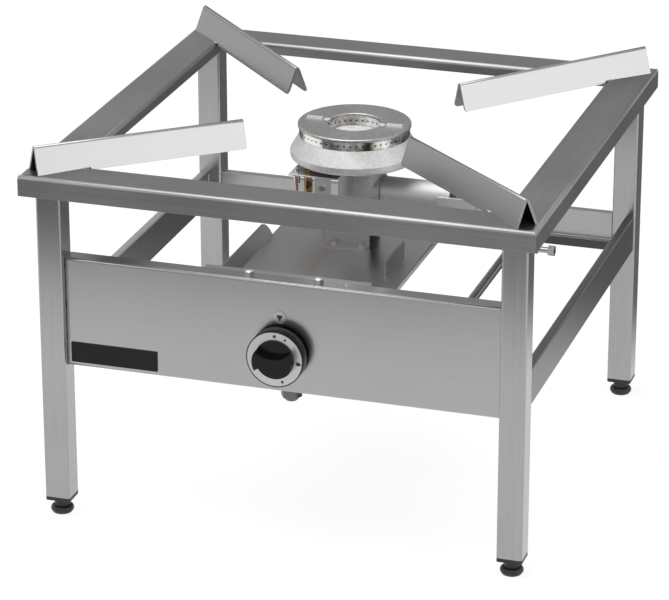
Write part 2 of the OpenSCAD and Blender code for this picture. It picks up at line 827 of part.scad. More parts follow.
// Cast bowl with its throat, and the mixing tube that draws in air at its mouth
module burner_body() {
    passage_z = trough_floor + cast_wall + over;
    color(cast) translate([0, burner_y, 0]) difference() {
        union() {
            rotate_extrude() bowl_outline();
            translate([throat_x, 0, throat_foot])
                cylinder(r = throat_r, h = skirt_low - throat_foot);
            face_right(throat_x, 0, tube_z) cylinder(r = tube_collar_r, h = throat_r + over);
            face_right(throat_x, 0, tube_z) cylinder(r = tube_r, h = tube_reach - throat_x);
        }
        face_right(throat_x, 0, tube_z) cylinder(r = tube_bore_r, h = tube_reach);
        translate([throat_x, 0, tube_z]) cylinder(r = tube_bore_r, h = passage_z - tube_z);
        translate([throat_x, 0, passage_z]) rotate([90, 0, 0])
            cylinder(r = cast_wall, h = 2 * boss_r + 2 * cast_wall, center = true);
    }
}

// Bent bracket that lifts the casting above the tray floor
module burner_stand() {
    upright_h = throat_foot - tray_floor;
    color(steel) translate([0, burner_y, tray_floor]) difference() {
        union() {
            translate([-stand_w / 2, -stand_d / 2, upright_h - stand_sheet])
                cube([stand_w, stand_d, stand_sheet]);
            for (side = [0, 1]) mirror([0, side, 0]) {
                translate([-stand_w / 2, stand_d / 2 - stand_sheet, 0])
                    cube([stand_w, stand_sheet, upright_h]);
                translate([-stand_w / 2, stand_d / 2 - stand_sheet, 0])
                    cube([stand_w, stand_foot + stand_sheet, stand_sheet]);
            }
        }
        for (x = [-stand_screw_x, stand_screw_x], y = [-stand_screw_y, stand_screw_y])
            translate([x, y, -over])
                cylinder(r = stand_screw_r + running, h = stand_sheet + 2 * over);
    }
}

module stand_screws() {
    color(steel) for (x = [-stand_screw_x, stand_screw_x], y = [-stand_screw_y, stand_screw_y])
        translate([x, burner_y + y, tray_floor + stand_sheet]) {
            cylinder(r = 2 * stand_screw_r, h = stand_screw_r);
            translate([0, 0, -stand_sheet - tray_sheet])
                cylinder(r = stand_screw_r, h = stand_sheet + tray_sheet);
        }
}

// Machined ring plate with two ribs and two lugs, lifted off for cleaning
module burner_crown() {
    color(steel) translate([0, burner_y, crown_under]) {
        rotate_extrude() polygon([
            [crown_hole_r, 0], [crown_r, 0], [crown_r, crown_t - chamfer],
            [crown_r - chamfer, crown_t], [crown_hole_r + chamfer, crown_t],
            [crown_hole_r, crown_t - chamfer]
        ]);
        for (side = [0, 180]) rotate(side) {
            translate([crown_hole_r + crown_lug_r / 2, 0, 0])
                cylinder(r = crown_lug_r, h = crown_t + lug_h);
            translate([(crown_r + crown_hole_r - crown_rib_l) / 2, -crown_rib_w / 2, crown_t / 2])
                cube([crown_rib_l, crown_rib_w, crown_t / 2 + crown_rib_h]);
        }
    }
}

// Ports drilled through a ring at equal steps
module port_holes(count, r, wall) {
    for (i = [0:count - 1]) rotate(i * full_turn / count)
        translate([r - wall - over, 0, port_ring_h / 2]) rotate([0, 90, 0])
            cylinder(r = port_r, h = wall + 2 * over, $fn = port_sides);
}

// Outer ring of flame ports, with a lip that drops inside the casting's rim
module port_ring() {
    lip_r = trough_r - gap;
    color(steel) translate([0, burner_y, ring_bottom]) difference() {
        rotate_extrude() polygon([
            [port_ring_r - port_ring_wall, port_ring_h], [port_ring_r, port_ring_h],
            [port_ring_r, 0], [lip_r, 0], [lip_r, -ring_lip_h],
            [lip_r - port_ring_wall / 2, -ring_lip_h], [lip_r - port_ring_wall / 2, port_ring_wall / 2],
            [port_ring_r - port_ring_wall, port_ring_wall / 2]
        ]);
        port_holes(port_count, port_ring_r, port_ring_wall);
    }
}

module inner_port_ring() {
    color(steel) translate([0, burner_y, ring_bottom]) difference() {
        cylinder(r = crown_hole_r + port_ring_wall, h = port_ring_h);
        translate([0, 0, -over]) cylinder(r = crown_hole_r, h = port_ring_h + 2 * over);
        port_holes(inner_port_count, crown_hole_r + port_ring_wall, port_ring_wall);
    }
}

// Strap that holds the injector in front of the mixing tube's mouth
module injector_yoke() {
    color(steel) translate([0, burner_y, tube_z]) difference() {
        union() {
            for (side = [0, 1]) mirror([0, side, 0])
                translate([tube_reach - yoke_w, tube_r, -yoke_w / 2])
                    cube([yoke_reach + yoke_w + yoke_t, yoke_t, yoke_w]);
            translate([yoke_end_x, -tube_r - over, -yoke_w / 2])
                cube([yoke_t, 2 * tube_r + 2 * over, yoke_w]);
        }
        face_right(yoke_end_x - over, 0, 0)
            cylinder(r = injector_r + running, h = yoke_t + 2 * over);
    }
}

// Brass nozzle whose stem carries the air shutter
module injector() {
    color(gold) face_right(0, burner_y, tube_z) {
        translate([0, 0, yoke_end_x + yoke_t - nozzle_l]) cylinder(r = injector_r, h = nozzle_l);
        translate([0, 0, yoke_end_x + yoke_t]) hexagon(injector_head_r, injector_head_l);
    }
}

module air_shutter() {
    color(steel) face_right(shutter_x, burner_y, tube_z) difference() {
        cylinder(r = shutter_r, h = shutter_t);
        translate([0, 0, -over]) cylinder(r = injector_r + running, h = shutter_t + 2 * over);
    }
}

// Shelf round the casting's throat, with an upright plate at its front edge
module pilot_bracket() {
    shelf_left = -probe_x - 2 * probe_nut_r;
    shelf_front = burner_y - pilot_y - 2 * probe_nut_r;
    color(dark) difference() {
        union() {
            translate([shelf_left, shelf_front, pilot_shelf_z])
                cube([-shelf_left, burner_y - shelf_front, pilot_sheet]);
            translate([-pilot_plate_w - throat_x, shelf_front, pilot_shelf_z - pilot_plate_h])
                cube([pilot_plate_w, pilot_sheet, pilot_plate_h + pilot_sheet]);
        }
        translate([throat_x, burner_y, pilot_shelf_z - over])
            cylinder(r = throat_r + running, h = pilot_sheet + 2 * over);
        translate([shelf_left, burner_y - throat_r / 2, pilot_shelf_z - over])
            cube([-shelf_left - throat_r / 2, throat_r, pilot_sheet + 2 * over]);
        translate([pilot_at.x, pilot_at.y, pilot_shelf_z - over])
            cylinder(r = pilot_neck_r + running, h = pilot_sheet + 2 * over);
        translate([probe_at.x, probe_at.y, pilot_shelf_z - over])
            cylinder(r = probe_r + running, h = pilot_sheet + 2 * over);
    }
}

module pilot_burner() {
    color(gold) translate([pilot_at.x, pilot_at.y, pilot_bottom]) {
        cylinder(r = pilot_r, h = pilot_h);
        cylinder(r = pilot_neck_r, h = pilot_top - pilot_bottom);
    }
}

module thermocouple() {
    color(copper) translate([probe_at.x, probe_at.y, probe_bottom]) {
        cylinder(r = probe_nut_r, h = pilot_shelf_z - probe_bottom);
        cylinder(r = probe_r, h = pilot_top - probe_bottom);
    }
}

module pilot_pipe() {
    color(copper) pipe([
        [pilot_at.x, pilot_at.y, pilot_bottom], [pilot_at.x, pilot_at.y, service_low],
        [pilot_at.x, service_y, service_low], [pilot_at.x, service_y, service_z],
        [pilot_at.x, chamber_y, service_z], [-chamber_r, chamber_y, service_z]
    ], pilot_pipe_r, service_bend);
}

module thermocouple_lead() {
    lead_end_y = chamber_y + magnet_r;
    lead_turn_y = lead_end_y + 2 * service_bend;
    lead_end_z = magnet_bottom + magnet_h / 2;
    color(copper) pipe([
        [probe_at.x, probe_at.y, probe_bottom], [probe_at.x, probe_at.y, service_low],
        [probe_at.x, service_y, service_low], [probe_at.x, service_y, service_z],
        [probe_at.x, lead_turn_y, service_z], [probe_at.x, lead_turn_y, lead_end_z],
        [0, lead_turn_y, lead_end_z], [0, lead_end_y, lead_end_z]
    ], lead_r, service_bend);
}

// Tap with its bush through the panel, a side outlet and a chamber for the magnet unit
module gas_tap_body() {
    color(gold) difference() {
        union() {
            face_front(0, tap_back_y, tap_z) cylinder(r = tap_r, h = tap_back_y - tap_front_y);
            face_front(0, tap_back_y, tap_z)
                cylinder(r = bush_r, h = tap_back_y - panel_y + bush_reach);
            translate([0, chamber_y, chamber_bottom])
                cylinder(r = chamber_r, h = tap_z - chamber_bottom);
            face_right(0, chamber_y, tap_z) cylinder(r = tap_port_r, h = tap_port_reach);
        }
        face_front(0, spindle_back_y + push_travel + gap, tap_z)
            cylinder(r = spindle_r + running, h = spindle_back_y - spindle_front_y);
        face_front(0, plunger_bore_back_y, tap_z)
            cylinder(r = plunger_r + running, h = plunger_bore_back_y - spindle_back_y);
    }
}

// Closing nut of the tap's lower chamber, tapered at its end
module magnet_unit() {
    taper_h = magnet_h * mouth_share;
    color(dark) translate([0, chamber_y, magnet_bottom]) {
        cylinder(r1 = chamber_r * neck_share, r2 = magnet_r, h = taper_h);
        translate([0, 0, taper_h]) hexagon(magnet_r, magnet_h - taper_h);
    }
}

module tap_plunger() {
    color(dark) face_front(0, spindle_back_y + gap + plunger_l, tap_z)
        cylinder(r = plunger_r, h = plunger_l);
}

// Spindle with a flat at its front end, where the knob grips it
module tap_spindle() {
    color(dark) difference() {
        face_front(0, spindle_back_y, tap_z)
            cylinder(r = spindle_r, h = spindle_back_y - spindle_front_y);
        translate([-spindle_r, spindle_front_y - over, tap_z + spindle_r - flat_depth])
            cube([2 * spindle_r, knob_boss_back_y - spindle_front_y + over, spindle_r]);
    }
}

// Hollow skirt, seat for the dial ring, and a waisted grip between two scoops
module knob() {
    boss_l = knob_boss_back_y - dial_y;
    skirt_l = knob_back_y - dial_y;
    color(black) face_front(0, dial_y, tap_z) difference() {
        union() {
            difference() {
                translate([0, 0, -skirt_l]) cylinder(r = knob_r, h = skirt_l);
                translate([0, 0, -skirt_l - over])
                    cylinder(r = knob_r - knob_wall, h = skirt_l + over - knob_wall);
                translate([0, 0, -dial_t]) cylinder(r = knob_r - dial_rim, h = dial_t + over);
            }
            translate([0, 0, -boss_l]) cylinder(r = spindle_r + knob_wall, h = boss_l);
            translate([0, 0, -knob_wall]) difference() {
                cylinder(r = grip_r, h = grip_h + knob_wall);
                for (side = [-1, 1])
                    translate([0, side * (grip_waist / 2 + scoop_r), knob_wall + scoop_rise])
                        cylinder(r = scoop_r, h = grip_h);
            }
        }
        translate([0, 0, -boss_l - over]) difference() {
            cylinder(r = spindle_r + running, h = boss_l + over + scoop_rise);
            translate([-spindle_r - over, spindle_r - flat_depth + running, -over])
                cube([2 * spindle_r + 2 * over, spindle_r, boss_l + scoop_rise + 3 * over]);
        }
    }
}

module dial_ring() {
    color(cast) face_front(0, dial_y + dial_t, tap_z) difference() {
        cylinder(r = knob_r - dial_rim - running, h = dial_t);
        translate([0, 0, -over]) cylinder(r = grip_r + running, h = dial_t + 2 * over);
    }
}

module index_disc() {
    color(cast) face_front(0, panel_y, tap_z + index_rise) cylinder(r = index_r, h = index_t);
}

module feed_pipe() {
    color(steel) pipe([
        [tap_port_reach, chamber_y, tap_z], [feed_x, chamber_y, tap_z],
        [feed_x, chamber_y, feed_z], [feed_x, burner_y, feed_z],
        [feed_x, burner_y, tube_z], [injector_end_x, burner_y, tube_z]
    ], feed_r, feed_bend);
}

// A hexagonal nut with the pipe running through it
module pipe_nut(pipe_r) {
    difference() {
        hexagon(pipe_r + panel_bend, 2 * pipe_r);
        translate([0, 0, -over]) cylinder(r = pipe_r + running, h = 2 * pipe_r + 2 * over);
    }
}

module feed_pipe_nuts() {
    color(gold) {
        face_right(tap_port_reach, chamber_y, tap_z) pipe_nut(feed_r);
        face_right(injector_end_x, burner_y, tube_z) pipe_nut(feed_r);
    }
}

module supply_pipe() {
    color(steel) pipe([
        [inlet_x - inlet_l, inlet_y, supply_z], [-supply_x, inlet_y, supply_z],
        [-supply_x, chamber_y, supply_z], [-chamber_r, chamber_y, supply_z]
    ], supply_r, supply_bend);
}

module supply_pipe_nut() {
    color(gold) face_right(-chamber_r - 2 * supply_r, chamber_y, supply_z) pipe_nut(supply_r);
}

// Stub that screws onto the supply pipe's end, with the gas way open to the right
module inlet_stub() {
    color(dark) face_right(inlet_x - inlet_l, inlet_y, supply_z) difference() {
        cylinder(r = inlet_r, h = inlet_l);
        translate([0, 0, inlet_l * chamfer_share]) cylinder(r = inlet_bore_r, h = inlet_l);
    }
}

module inlet_nut() {
    color(steel) face_right(inlet_x - inlet_nut_l, inlet_y, supply_z) difference() {
        hexagon(inlet_nut_r, inlet_nut_l);
        translate([0, 0, -over]) cylinder(r = inlet_r + running, h = inlet_nut_l + 2 * over);
    }
}

top_frame_front();
top_frame_back();
top_frame_left();
top_frame_right();
leg_front_left();
leg_front_right();
leg_back_left();
leg_back_right();
foot_cap_front_left();
foot_cap_front_right();
foot_cap_back_left();
foot_cap_back_right();
foot_pad_front_left();
foot_pad_front_right();
foot_pad_back_left();
foot_pad_back_right();
foot_stem_front_left();
foot_stem_front_right();
foot_stem_back_left();
foot_stem_back_right();
rail_left();
rail_right();
rail_back();
control_panel();
burner_carrier();
carrier_bolts();
carrier_nuts();
pot_support_front_left();
pot_support_front_right();
pot_support_back_left();
pot_support_back_right();
burner_body();
burner_stand();
stand_screws();
burner_crown();
port_ring();
inner_port_ring();
injector_yoke();
injector();
air_shutter();
pilot_bracket();
pilot_burner();
pilot_pipe();
thermocouple();
thermocouple_lead();
gas_tap_body();
magnet_unit();
tap_plunger();
tap_spindle();
knob();
dial_ring();
index_disc();
feed_pipe();
feed_pipe_nuts();
supply_pipe();
supply_pipe_nut();
inlet_stub();
inlet_nut();
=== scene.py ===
import math

import bmesh
import bpy
from mathutils import Matrix, Vector


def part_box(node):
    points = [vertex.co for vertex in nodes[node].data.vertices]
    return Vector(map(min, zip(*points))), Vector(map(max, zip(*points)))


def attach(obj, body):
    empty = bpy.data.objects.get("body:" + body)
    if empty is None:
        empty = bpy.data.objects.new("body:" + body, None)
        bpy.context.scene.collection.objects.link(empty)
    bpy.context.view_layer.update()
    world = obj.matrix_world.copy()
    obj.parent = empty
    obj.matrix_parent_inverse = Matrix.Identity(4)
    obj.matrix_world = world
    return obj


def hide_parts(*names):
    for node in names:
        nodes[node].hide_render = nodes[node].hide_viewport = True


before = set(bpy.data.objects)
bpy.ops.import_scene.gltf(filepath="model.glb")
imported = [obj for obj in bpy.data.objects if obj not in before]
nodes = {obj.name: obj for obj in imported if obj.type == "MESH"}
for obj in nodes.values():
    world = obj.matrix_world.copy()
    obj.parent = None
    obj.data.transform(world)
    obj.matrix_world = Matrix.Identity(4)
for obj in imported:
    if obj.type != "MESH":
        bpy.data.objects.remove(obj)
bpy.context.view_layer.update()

# %% [markdown]
# This scene dresses a gas stool for large stock pots: a square steel frame, four folded pot supports, a ring burner
# on a tray and one tap with a black knob. The solids come from the CAD model and keep their shapes. What is added here
# is what a sheet-metal shop and a photographer add: brushed and cast surfaces, weld beads, a small screw, the marks on
# the dial and soft studio light. All lengths are metres, and the stool stands with its feet at zero.

# %% Measure the CAD model before anything is added
MM = 0.001


def node_box(name):
    """Low corner, high corner and middle of a CAD node."""
    low, high = (Vector(corner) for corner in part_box(name))
    return low, high, (low + high) / 2


# %% [markdown]
# The camera stands to the right of the knob and above the pot supports, far away with a long lens, so the square top
# looks almost drawn by parallel lines. Its place is worked out from two angles and a distance, because those are what
# a photographer would note down. The lens is shifted a little to frame the stool to the right of the middle.

# %% Camera
CAMERA_AZIMUTH = math.radians(17.33)
CAMERA_ELEVATION = math.radians(21.79)
CAMERA_ROLL = math.radians(0.08)
CAMERA_DISTANCE = 4.028
CAMERA_LENS = 180.8
CAMERA_SHIFT = -0.0267
camera_target = Vector((0, 0.0023, 0.1964))


def camera_matrix():
    """The camera's place and turn, from its angles."""
    side = Vector((math.cos(CAMERA_AZIMUTH), math.sin(CAMERA_AZIMUTH), 0))
    back = Vector((
        math.sin(CAMERA_AZIMUTH) * math.cos(CAMERA_ELEVATION),
        -math.cos(CAMERA_AZIMUTH) * math.cos(CAMERA_ELEVATION),
        math.sin(CAMERA_ELEVATION),
    ))
    up = back.cross(side)
    rolled_side = side * math.cos(CAMERA_ROLL) + up * math.sin(CAMERA_ROLL)
    rolled_up = back.cross(rolled_side)
    turn = Matrix((rolled_side, rolled_up, back)).transposed().to_4x4()
    return Matrix.Translation(camera_target + back * CAMERA_DISTANCE) @ turn


camera_data = bpy.data.cameras.new("studio_camera")
camera_data.lens = CAMERA_LENS
camera_data.shift_x = CAMERA_SHIFT
camera_data.clip_end = 20
camera = bpy.data.objects.new("studio_camera", camera_data)
camera.matrix_world = camera_matrix()
bpy.context.scene.collection.objects.link(camera)
bpy.context.scene.camera = camera
bpy.context.scene.view_settings.view_transform = "Standard"
print("camera at", [round(v, 3) for v in camera.matrix_world.translation])

# %% [markdown]
# A material here is a small graph of nodes on top of one Principled shader. The helpers below keep that graph short
# to write: one makes the shader, one adds a node with its settings, and one joins two sockets. Everything reads Object
# coordinates, which are metres on this model, so a grain of half a millimetre is half a millimetre on every piece.

# %% Helpers for materials
def new_material(name, **sockets):
    """A material with one Principled shader, and the given constants on its sockets."""
    material = bpy.data.materials.new(name)
    material.use_nodes = True
    shader = material.node_tree.nodes["Principled BSDF"]
    for socket, value in sockets.items():
        shader.inputs[socket.replace("_", " ")].default_value = value
    return material, shader


def add_node(material, kind, **values):
    """Adds a node of that kind. Lower-case words set its properties, capitalised ones its sockets."""
    node = material.node_tree.nodes.new("ShaderNode" + kind)
    for key, value in values.items():
        if key[0].isupper():
            node.inputs[key.replace("_", " ")].default_value = value
        else:
            setattr(node, key, value)
    return node


def join(material, from_socket, to_socket):
    """Links an output socket to an input socket."""
    material.node_tree.links.new(from_socket, to_socket)


def object_pattern(material, scale, kind="TexNoise", **values):
    """A texture on Object coordinates, stretched by a scale along each axis."""
    place = add_node(material, "TexCoord")
    stretch = add_node(material, "Mapping", Scale=scale)
    texture = add_node(material, kind, **values)
    join(material, place.outputs["Object"], stretch.inputs["Vector"])
    join(material, stretch.outputs["Vector"], texture.inputs["Vector"])
    return texture


def spread(material, socket, low, high):
    """Maps a texture's zero to one onto a range of values."""
    node = add_node(material, "MapRange", To_Min=low, To_Max=high)
    join(material, socket, node.inputs["Value"])
    return node.outputs["Result"]


def tones(material, socket, *stops):
    """A colour ramp from pairs of a place and a grey level or a colour."""
    ramp = add_node(material, "ValToRGB")
    elements = ramp.color_ramp.elements
    while len(elements) < len(stops):
        elements.new(0.5)
    for element, (place, tone) in zip(elements, stops):
        element.position = place
        element.color = (tone, tone, tone, 1) if isinstance(tone, float) else (*tone, 1)
    join(material, socket, ramp.inputs["Fac"])
    return ramp.outputs["Color"]


def raise_bump(material, shader, socket, strength, distance):
    """Turns a texture into fine relief. Distance is the height of the relief."""
    bump = add_node(material, "Bump", Strength=strength, Distance=distance)
    join(material, socket, bump.inputs["Height"])
    join(material, bump.outputs["Normal"], shader.inputs["Normal"])


# %% [markdown]
# Brushed stainless steel is sheet that was ground with a belt, so it carries fine parallel scratches in one direction.
# The scratches are a noise that is stretched a few hundred times along the belt's way. They move the roughness and
# raise a very low bump, and a second, wide noise gives the slow clouds that handling leaves. The way is a property of
# each piece: bars and rails were ground along their length, and legs up and down.

# %% Brushed steel
GRAIN = {"x": (5, 1900, 1900), "y": (1900, 5, 1900), "z": (1900, 1900, 5)}


def brushed_steel(name, grey, way, rough=(0.26, 0.42), scratch=0.12, smudge=0.06):
    """Ground sheet: grey is its colour, way the axis the belt ran along, smudge how much the grey wanders."""
    material, shader = new_material(name, Metallic=1.0)
    scratches = object_pattern(material, GRAIN[way], Scale=1.0, Detail=6.0, Roughness=0.7)
    clouds = object_pattern(material, (7, 7, 7), Scale=1.0, Detail=3.0, Roughness=0.5)
    both = add_node(material, "Mix", data_type="FLOAT", Factor=0.35)
    join(material, scratches.outputs["Fac"], both.inputs["A"])
    join(material, clouds.outputs["Fac"], both.inputs["B"])
    mixed = both.outputs["Result"]
    colour = tones(material, mixed, (0.34, grey * (1 - smudge)), (0.66, grey * (1 + smudge)))
    join(material, colour, shader.inputs["Base Color"])
    join(material, spread(material, mixed, *rough), shader.inputs["Roughness"])
    raise_bump(material, shader, scratches.outputs["Fac"], scratch, 0.0002)
    return material


frame_steel_x = brushed_steel("bar_steel_along_x", 0.27, "x", smudge=0.2)
frame_steel_y = brushed_steel("bar_steel_along_y", 0.29, "y", smudge=0.2)
leg_steel = brushed_steel("leg_steel", 0.36, "z", rough=(0.16, 0.26), smudge=0.12)
rail_steel = brushed_steel("rail_steel", 0.18, "y", smudge=0.2)
rail_back_steel = brushed_steel("back_rail_steel", 0.42, "x")
panel_steel = brushed_steel("panel_steel", 0.38, "x", rough=(0.18, 0.28), scratch=0.06)
tray_steel = brushed_steel("tray_steel", 0.45, "y", rough=(0.24, 0.36), scratch=0.04)
# A darker copy of the tray's steel, for painted shade on the tray's raised walls.
tray_wall_painted_shade = brushed_steel("tray_wall_painted_shade", 0.24, "y", rough=(0.3, 0.45), scratch=0.04)
# A lighter copy of the rails' steel, for a painted highlight on the left rail's top.
rail_top_painted_highlight = brushed_steel("rail_top_painted_highlight", 0.6, "y")
zinc_steel = brushed_steel("zinc_steel", 0.62, "x", rough=(0.34, 0.5), scratch=0.05)
pipe_steel = brushed_steel("pipe_steel", 0.22, "y", rough=(0.2, 0.32), scratch=0.05)
inlet_steel = brushed_steel("inlet_steel", 0.34, "y", rough=(0.2, 0.32), scratch=0.05)
# Nearly black steel, for painted shade on the back rail's lower lip.
back_lip_painted_shade = brushed_steel("back_lip_painted_shade", 0.07, "x")
screw_steel = brushed_steel("screw_steel", 0.6, "z", rough=(0.15, 0.3), scratch=0.05)
dial_metal = brushed_steel("dial_metal", 0.52, "z", rough=(0.3, 0.4), scratch=0.05)
print("materials so far, with those of the CAD model:", len(bpy.data.materials))

# %% [markdown]
# The pot supports are folded from heavier sheet and were polished smoother than the frame, because food boils over on
# them. They lie on the diagonals of the square, so neither X nor Y is along them. A Mapping node turns the pattern by
# forty-five degrees first, and the grain then runs along each support.

# %% Support steel along the two diagonals
def support_steel(name, degrees):
    """Bright folded sheet whose grain runs along a diagonal of the top."""
    material, shader = new_material(name, Metallic=1.0)
    place = add_node(material, "TexCoord")
    turn = add_node(material, "Mapping", Rotation=(0, 0, math.radians(degrees)))
    stretch = add_node(material, "Mapping", Scale=(5, 1400, 1400))
    scratches = add_node(material, "TexNoise", Scale=1.0, Detail=5.0, Roughness=0.65)
    join(material, place.outputs["Object"], turn.inputs["Vector"])
    join(material, turn.outputs["Vector"], stretch.inputs["Vector"])
    join(material, stretch.outputs["Vector"], scratches.inputs["Vector"])
    colour = tones(material, scratches.outputs["Fac"], (0.3, 0.28), (0.7, 0.31))
    join(material, colour, shader.inputs["Base Color"])
    join(material, spread(material, scratches.outputs["Fac"], 0.2, 0.27), shader.inputs["Roughness"])
    raise_bump(material, shader, scratches.outputs["Fac"], 0.08, 0.0002)
    return material


support_along_rising = support_steel("support_steel_rising", -45)
support_along_falling = support_steel("support_steel_falling", 45)
print("support steels:", support_along_rising.name, support_along_falling.name)

# %% [markdown]
# The burner body is cast aluminium that was shot-blasted, so its skin is a fine, even pebble with a few soft pits. A
# fine noise makes the pebble, a pattern of cells makes the pits, and a wide noise adds slow clouds of grey. The crown
# on top is the same metal, but turned on a lathe, which leaves rings round its middle. A Wave texture set to rings
# round Z gives them.

# %% Cast and turned metal
def cast_metal(name, grey, rough=(0.45, 0.62)):
    """Blasted casting with a pebbled skin."""
    material, shader = new_material(name, Metallic=0.85)
    pebble = object_pattern(material, (1, 1, 1), Scale=900, Detail=4.0, Roughness=0.6)
    pits = object_pattern(material, (1, 1, 1), kind="TexVoronoi", Scale=420)
    clouds = object_pattern(material, (1, 1, 1), Scale=26, Detail=3.0, Roughness=0.5)
    skin = add_node(material, "Mix", data_type="FLOAT", Factor=0.5)
    join(material, pebble.outputs["Fac"], skin.inputs["A"])
    join(material, pits.outputs["Distance"], skin.inputs["B"])
    tone = add_node(material, "Mix", data_type="FLOAT", Factor=0.45)
    join(material, skin.outputs["Result"], tone.inputs["A"])
    join(material, clouds.outputs["Fac"], tone.inputs["B"])
    colour = tones(material, tone.outputs["Result"], (0.3, grey * 0.74), (0.62, grey * 1.12))
    join(material, colour, shader.inputs["Base Color"])
    join(material, spread(material, skin.outputs["Result"], *rough), shader.inputs["Roughness"])
    raise_bump(material, shader, skin.outputs["Result"], 0.45, 0.0004)
    return material


def turned_metal(name, grey, centre, rough=(0.2, 0.34), dark_share=0.7):
    """Lathe-turned disc: fine rings round an upright axis through centre, with dark specks of use."""
    material, shader = new_material(name, Metallic=1.0)
    place = add_node(material, "TexCoord")
    middle = add_node(material, "Mapping", Location=(-centre[0], -centre[1], 0))
    rings = add_node(
        material, "TexWave", wave_type="RINGS", rings_direction="Z", Scale=260, Distortion=0.6, Detail=3.0
    )
    join(material, place.outputs["Object"], middle.inputs["Vector"])
    join(material, middle.outputs["Vector"], rings.inputs["Vector"])
    stains = object_pattern(material, (1, 1, 1), Scale=30, Detail=4.0, Roughness=0.6)
    both = add_node(material, "Mix", data_type="FLOAT", Factor=0.6)
    join(material, rings.outputs["Fac"], both.inputs["A"])
    join(material, stains.outputs["Fac"], both.inputs["B"])
    specks = object_pattern(material, (1, 1, 1), Scale=480, Detail=3.0, Roughness=0.7)
    turned = tones(material, both.outputs["Result"], (0.25, grey * 0.86), (0.75, grey * 1.1))
    speckle = tones(material, specks.outputs["Fac"], (0.36, dark_share), (0.56, 1.0))
    colour = add_node(material, "MixRGB", blend_type="MULTIPLY", Fac=1.0)
    join(material, turned, colour.inputs["Color1"])
    join(material, speckle, colour.inputs["Color2"])
    join(material, colour.outputs["Color"], shader.inputs["Base Color"])
    join(material, spread(material, both.outputs["Result"], *rough), shader.inputs["Roughness"])
    raise_bump(material, shader, rings.outputs["Fac"], 0.15, 0.0002)
    return material


BURNER_AXIS = (0.0, 0.0103)
cast_aluminium = cast_metal("cast_aluminium", 0.6)
# A darker copy of the casting on the neck: painted shade under the burner's skirt.
neck_painted_shade = cast_metal("neck_painted_shade", 0.4)
bowl_aluminium = cast_metal("bowl_aluminium", 0.92, rough=(0.3, 0.45))
crown_metal = turned_metal("crown_metal", 0.44, BURNER_AXIS, rough=(0.3, 0.46), dark_share=0.55)
# A near-white steel on the crown's raised ribs: a painted highlight where light falls on them.
rib_painted_highlight = brushed_steel("rib_painted_highlight", 0.98, "x", rough=(0.3, 0.42), scratch=0.04)
tube_steel = brushed_steel("tube_steel", 0.47, "x", rough=(0.5, 0.6), scratch=0.04)
print("burner at", BURNER_AXIS, "crown's middle", [round(v, 4) for v in node_box("burner_crown")[2]])

# %% [markdown]
# Brass and copper differ from steel in colour first: a metal's base colour is the colour of its reflections. Both get
# stains from heat and fingers, which darken them in patches. The black plastic of the knob and the feet is not a
# metal. It is dark with a soft sheen, and a very fine grain from the mould breaks its highlights.

# %% Brass, copper and black plastic
def tinted_metal(name, colour, dark, rough, patches=55, dark_to=0.42, clean_from=0.56):
    """Coloured metal with darker patches where it was heated or handled."""
    material, shader = new_material(name, Metallic=1.0)
    stains = object_pattern(material, (1, 1, 1), Scale=patches, Detail=4.0, Roughness=0.6)
    ramp = tones(material, stains.outputs["Fac"], (dark_to, dark), (clean_from, colour))
    join(material, ramp, shader.inputs["Base Color"])
    join(material, spread(material, stains.outputs["Fac"], *rough), shader.inputs["Roughness"])
    raise_bump(material, shader, stains.outputs["Fac"], 0.1, 0.0003)
    return material


def moulded_plastic(name, grey, rough, grain=1500, shine=0.45):
    """Black moulded plastic with a fine grain."""
    material, shader = new_material(name, Specular_IOR_Level=shine)
    fine = object_pattern(material, (1, 1, 1), Scale=grain, Detail=2.0, Roughness=0.5)
    wide = object_pattern(material, (1, 1, 1), Scale=40, Detail=3.0, Roughness=0.5)
    colour = tones(material, wide.outputs["Fac"], (0.3, grey * 0.8), (0.7, grey * 1.3))
    join(material, colour, shader.inputs["Base Color"])
    join(material, spread(material, wide.outputs["Fac"], rough - 0.06, rough + 0.06), shader.inputs["Roughness"])
    raise_bump(material, shader, fine.outputs["Fac"], 0.2, 0.0001)
    return material


ring_metal = tinted_metal(
    "port_ring_metal", (0.8, 0.78, 0.75), (0.12, 0.1, 0.085), (0.1, 0.22), 34, dark_to=0.4, clean_from=0.6
)
inner_ring_metal = tinted_metal(
    "inner_ring_metal", (0.88, 0.87, 0.85), (0.34, 0.32, 0.3), (0.1, 0.22), 34, dark_to=0.4, clean_from=0.6
)
heated_brass = tinted_metal("heated_brass", (0.42, 0.28, 0.13), (0.12, 0.07, 0.035), (0.22, 0.4), 130)
brass = tinted_metal("brass", (0.72, 0.5, 0.2), (0.45, 0.28, 0.1), (0.2, 0.36))
copper = tinted_metal("copper", (0.66, 0.34, 0.2), (0.34, 0.17, 0.1), (0.24, 0.4))
dark_steel = tinted_metal("dark_steel", (0.15, 0.15, 0.15), (0.05, 0.05, 0.05), (0.35, 0.5))
knob_black = moulded_plastic("knob_black", 0.005, 0.24, shine=0.22)
foot_black = moulded_plastic("foot_black", 0.016, 0.46, grain=900)
print("materials so far, with those of the CAD model:", len(bpy.data.materials))

# %% [markdown]
# Each CAD node keeps its shape and gets its finish here. The table goes by name, so a reader can see at a glance what
# is made of what. The last line names any node that was forgotten.

# %% Give each CAD node its material
def dress(material, *names):
    """Puts one material on the CAD nodes of these names."""
    for name in names:
        mesh = nodes[name].data
        mesh.materials.clear()
        mesh.materials.append(material)


def corners(*starts):
    """The four corner nodes of each family."""
    sides = ("front_left", "front_right", "back_left", "back_right")
    return [f"{start}_{side}" for start in starts for side in sides]


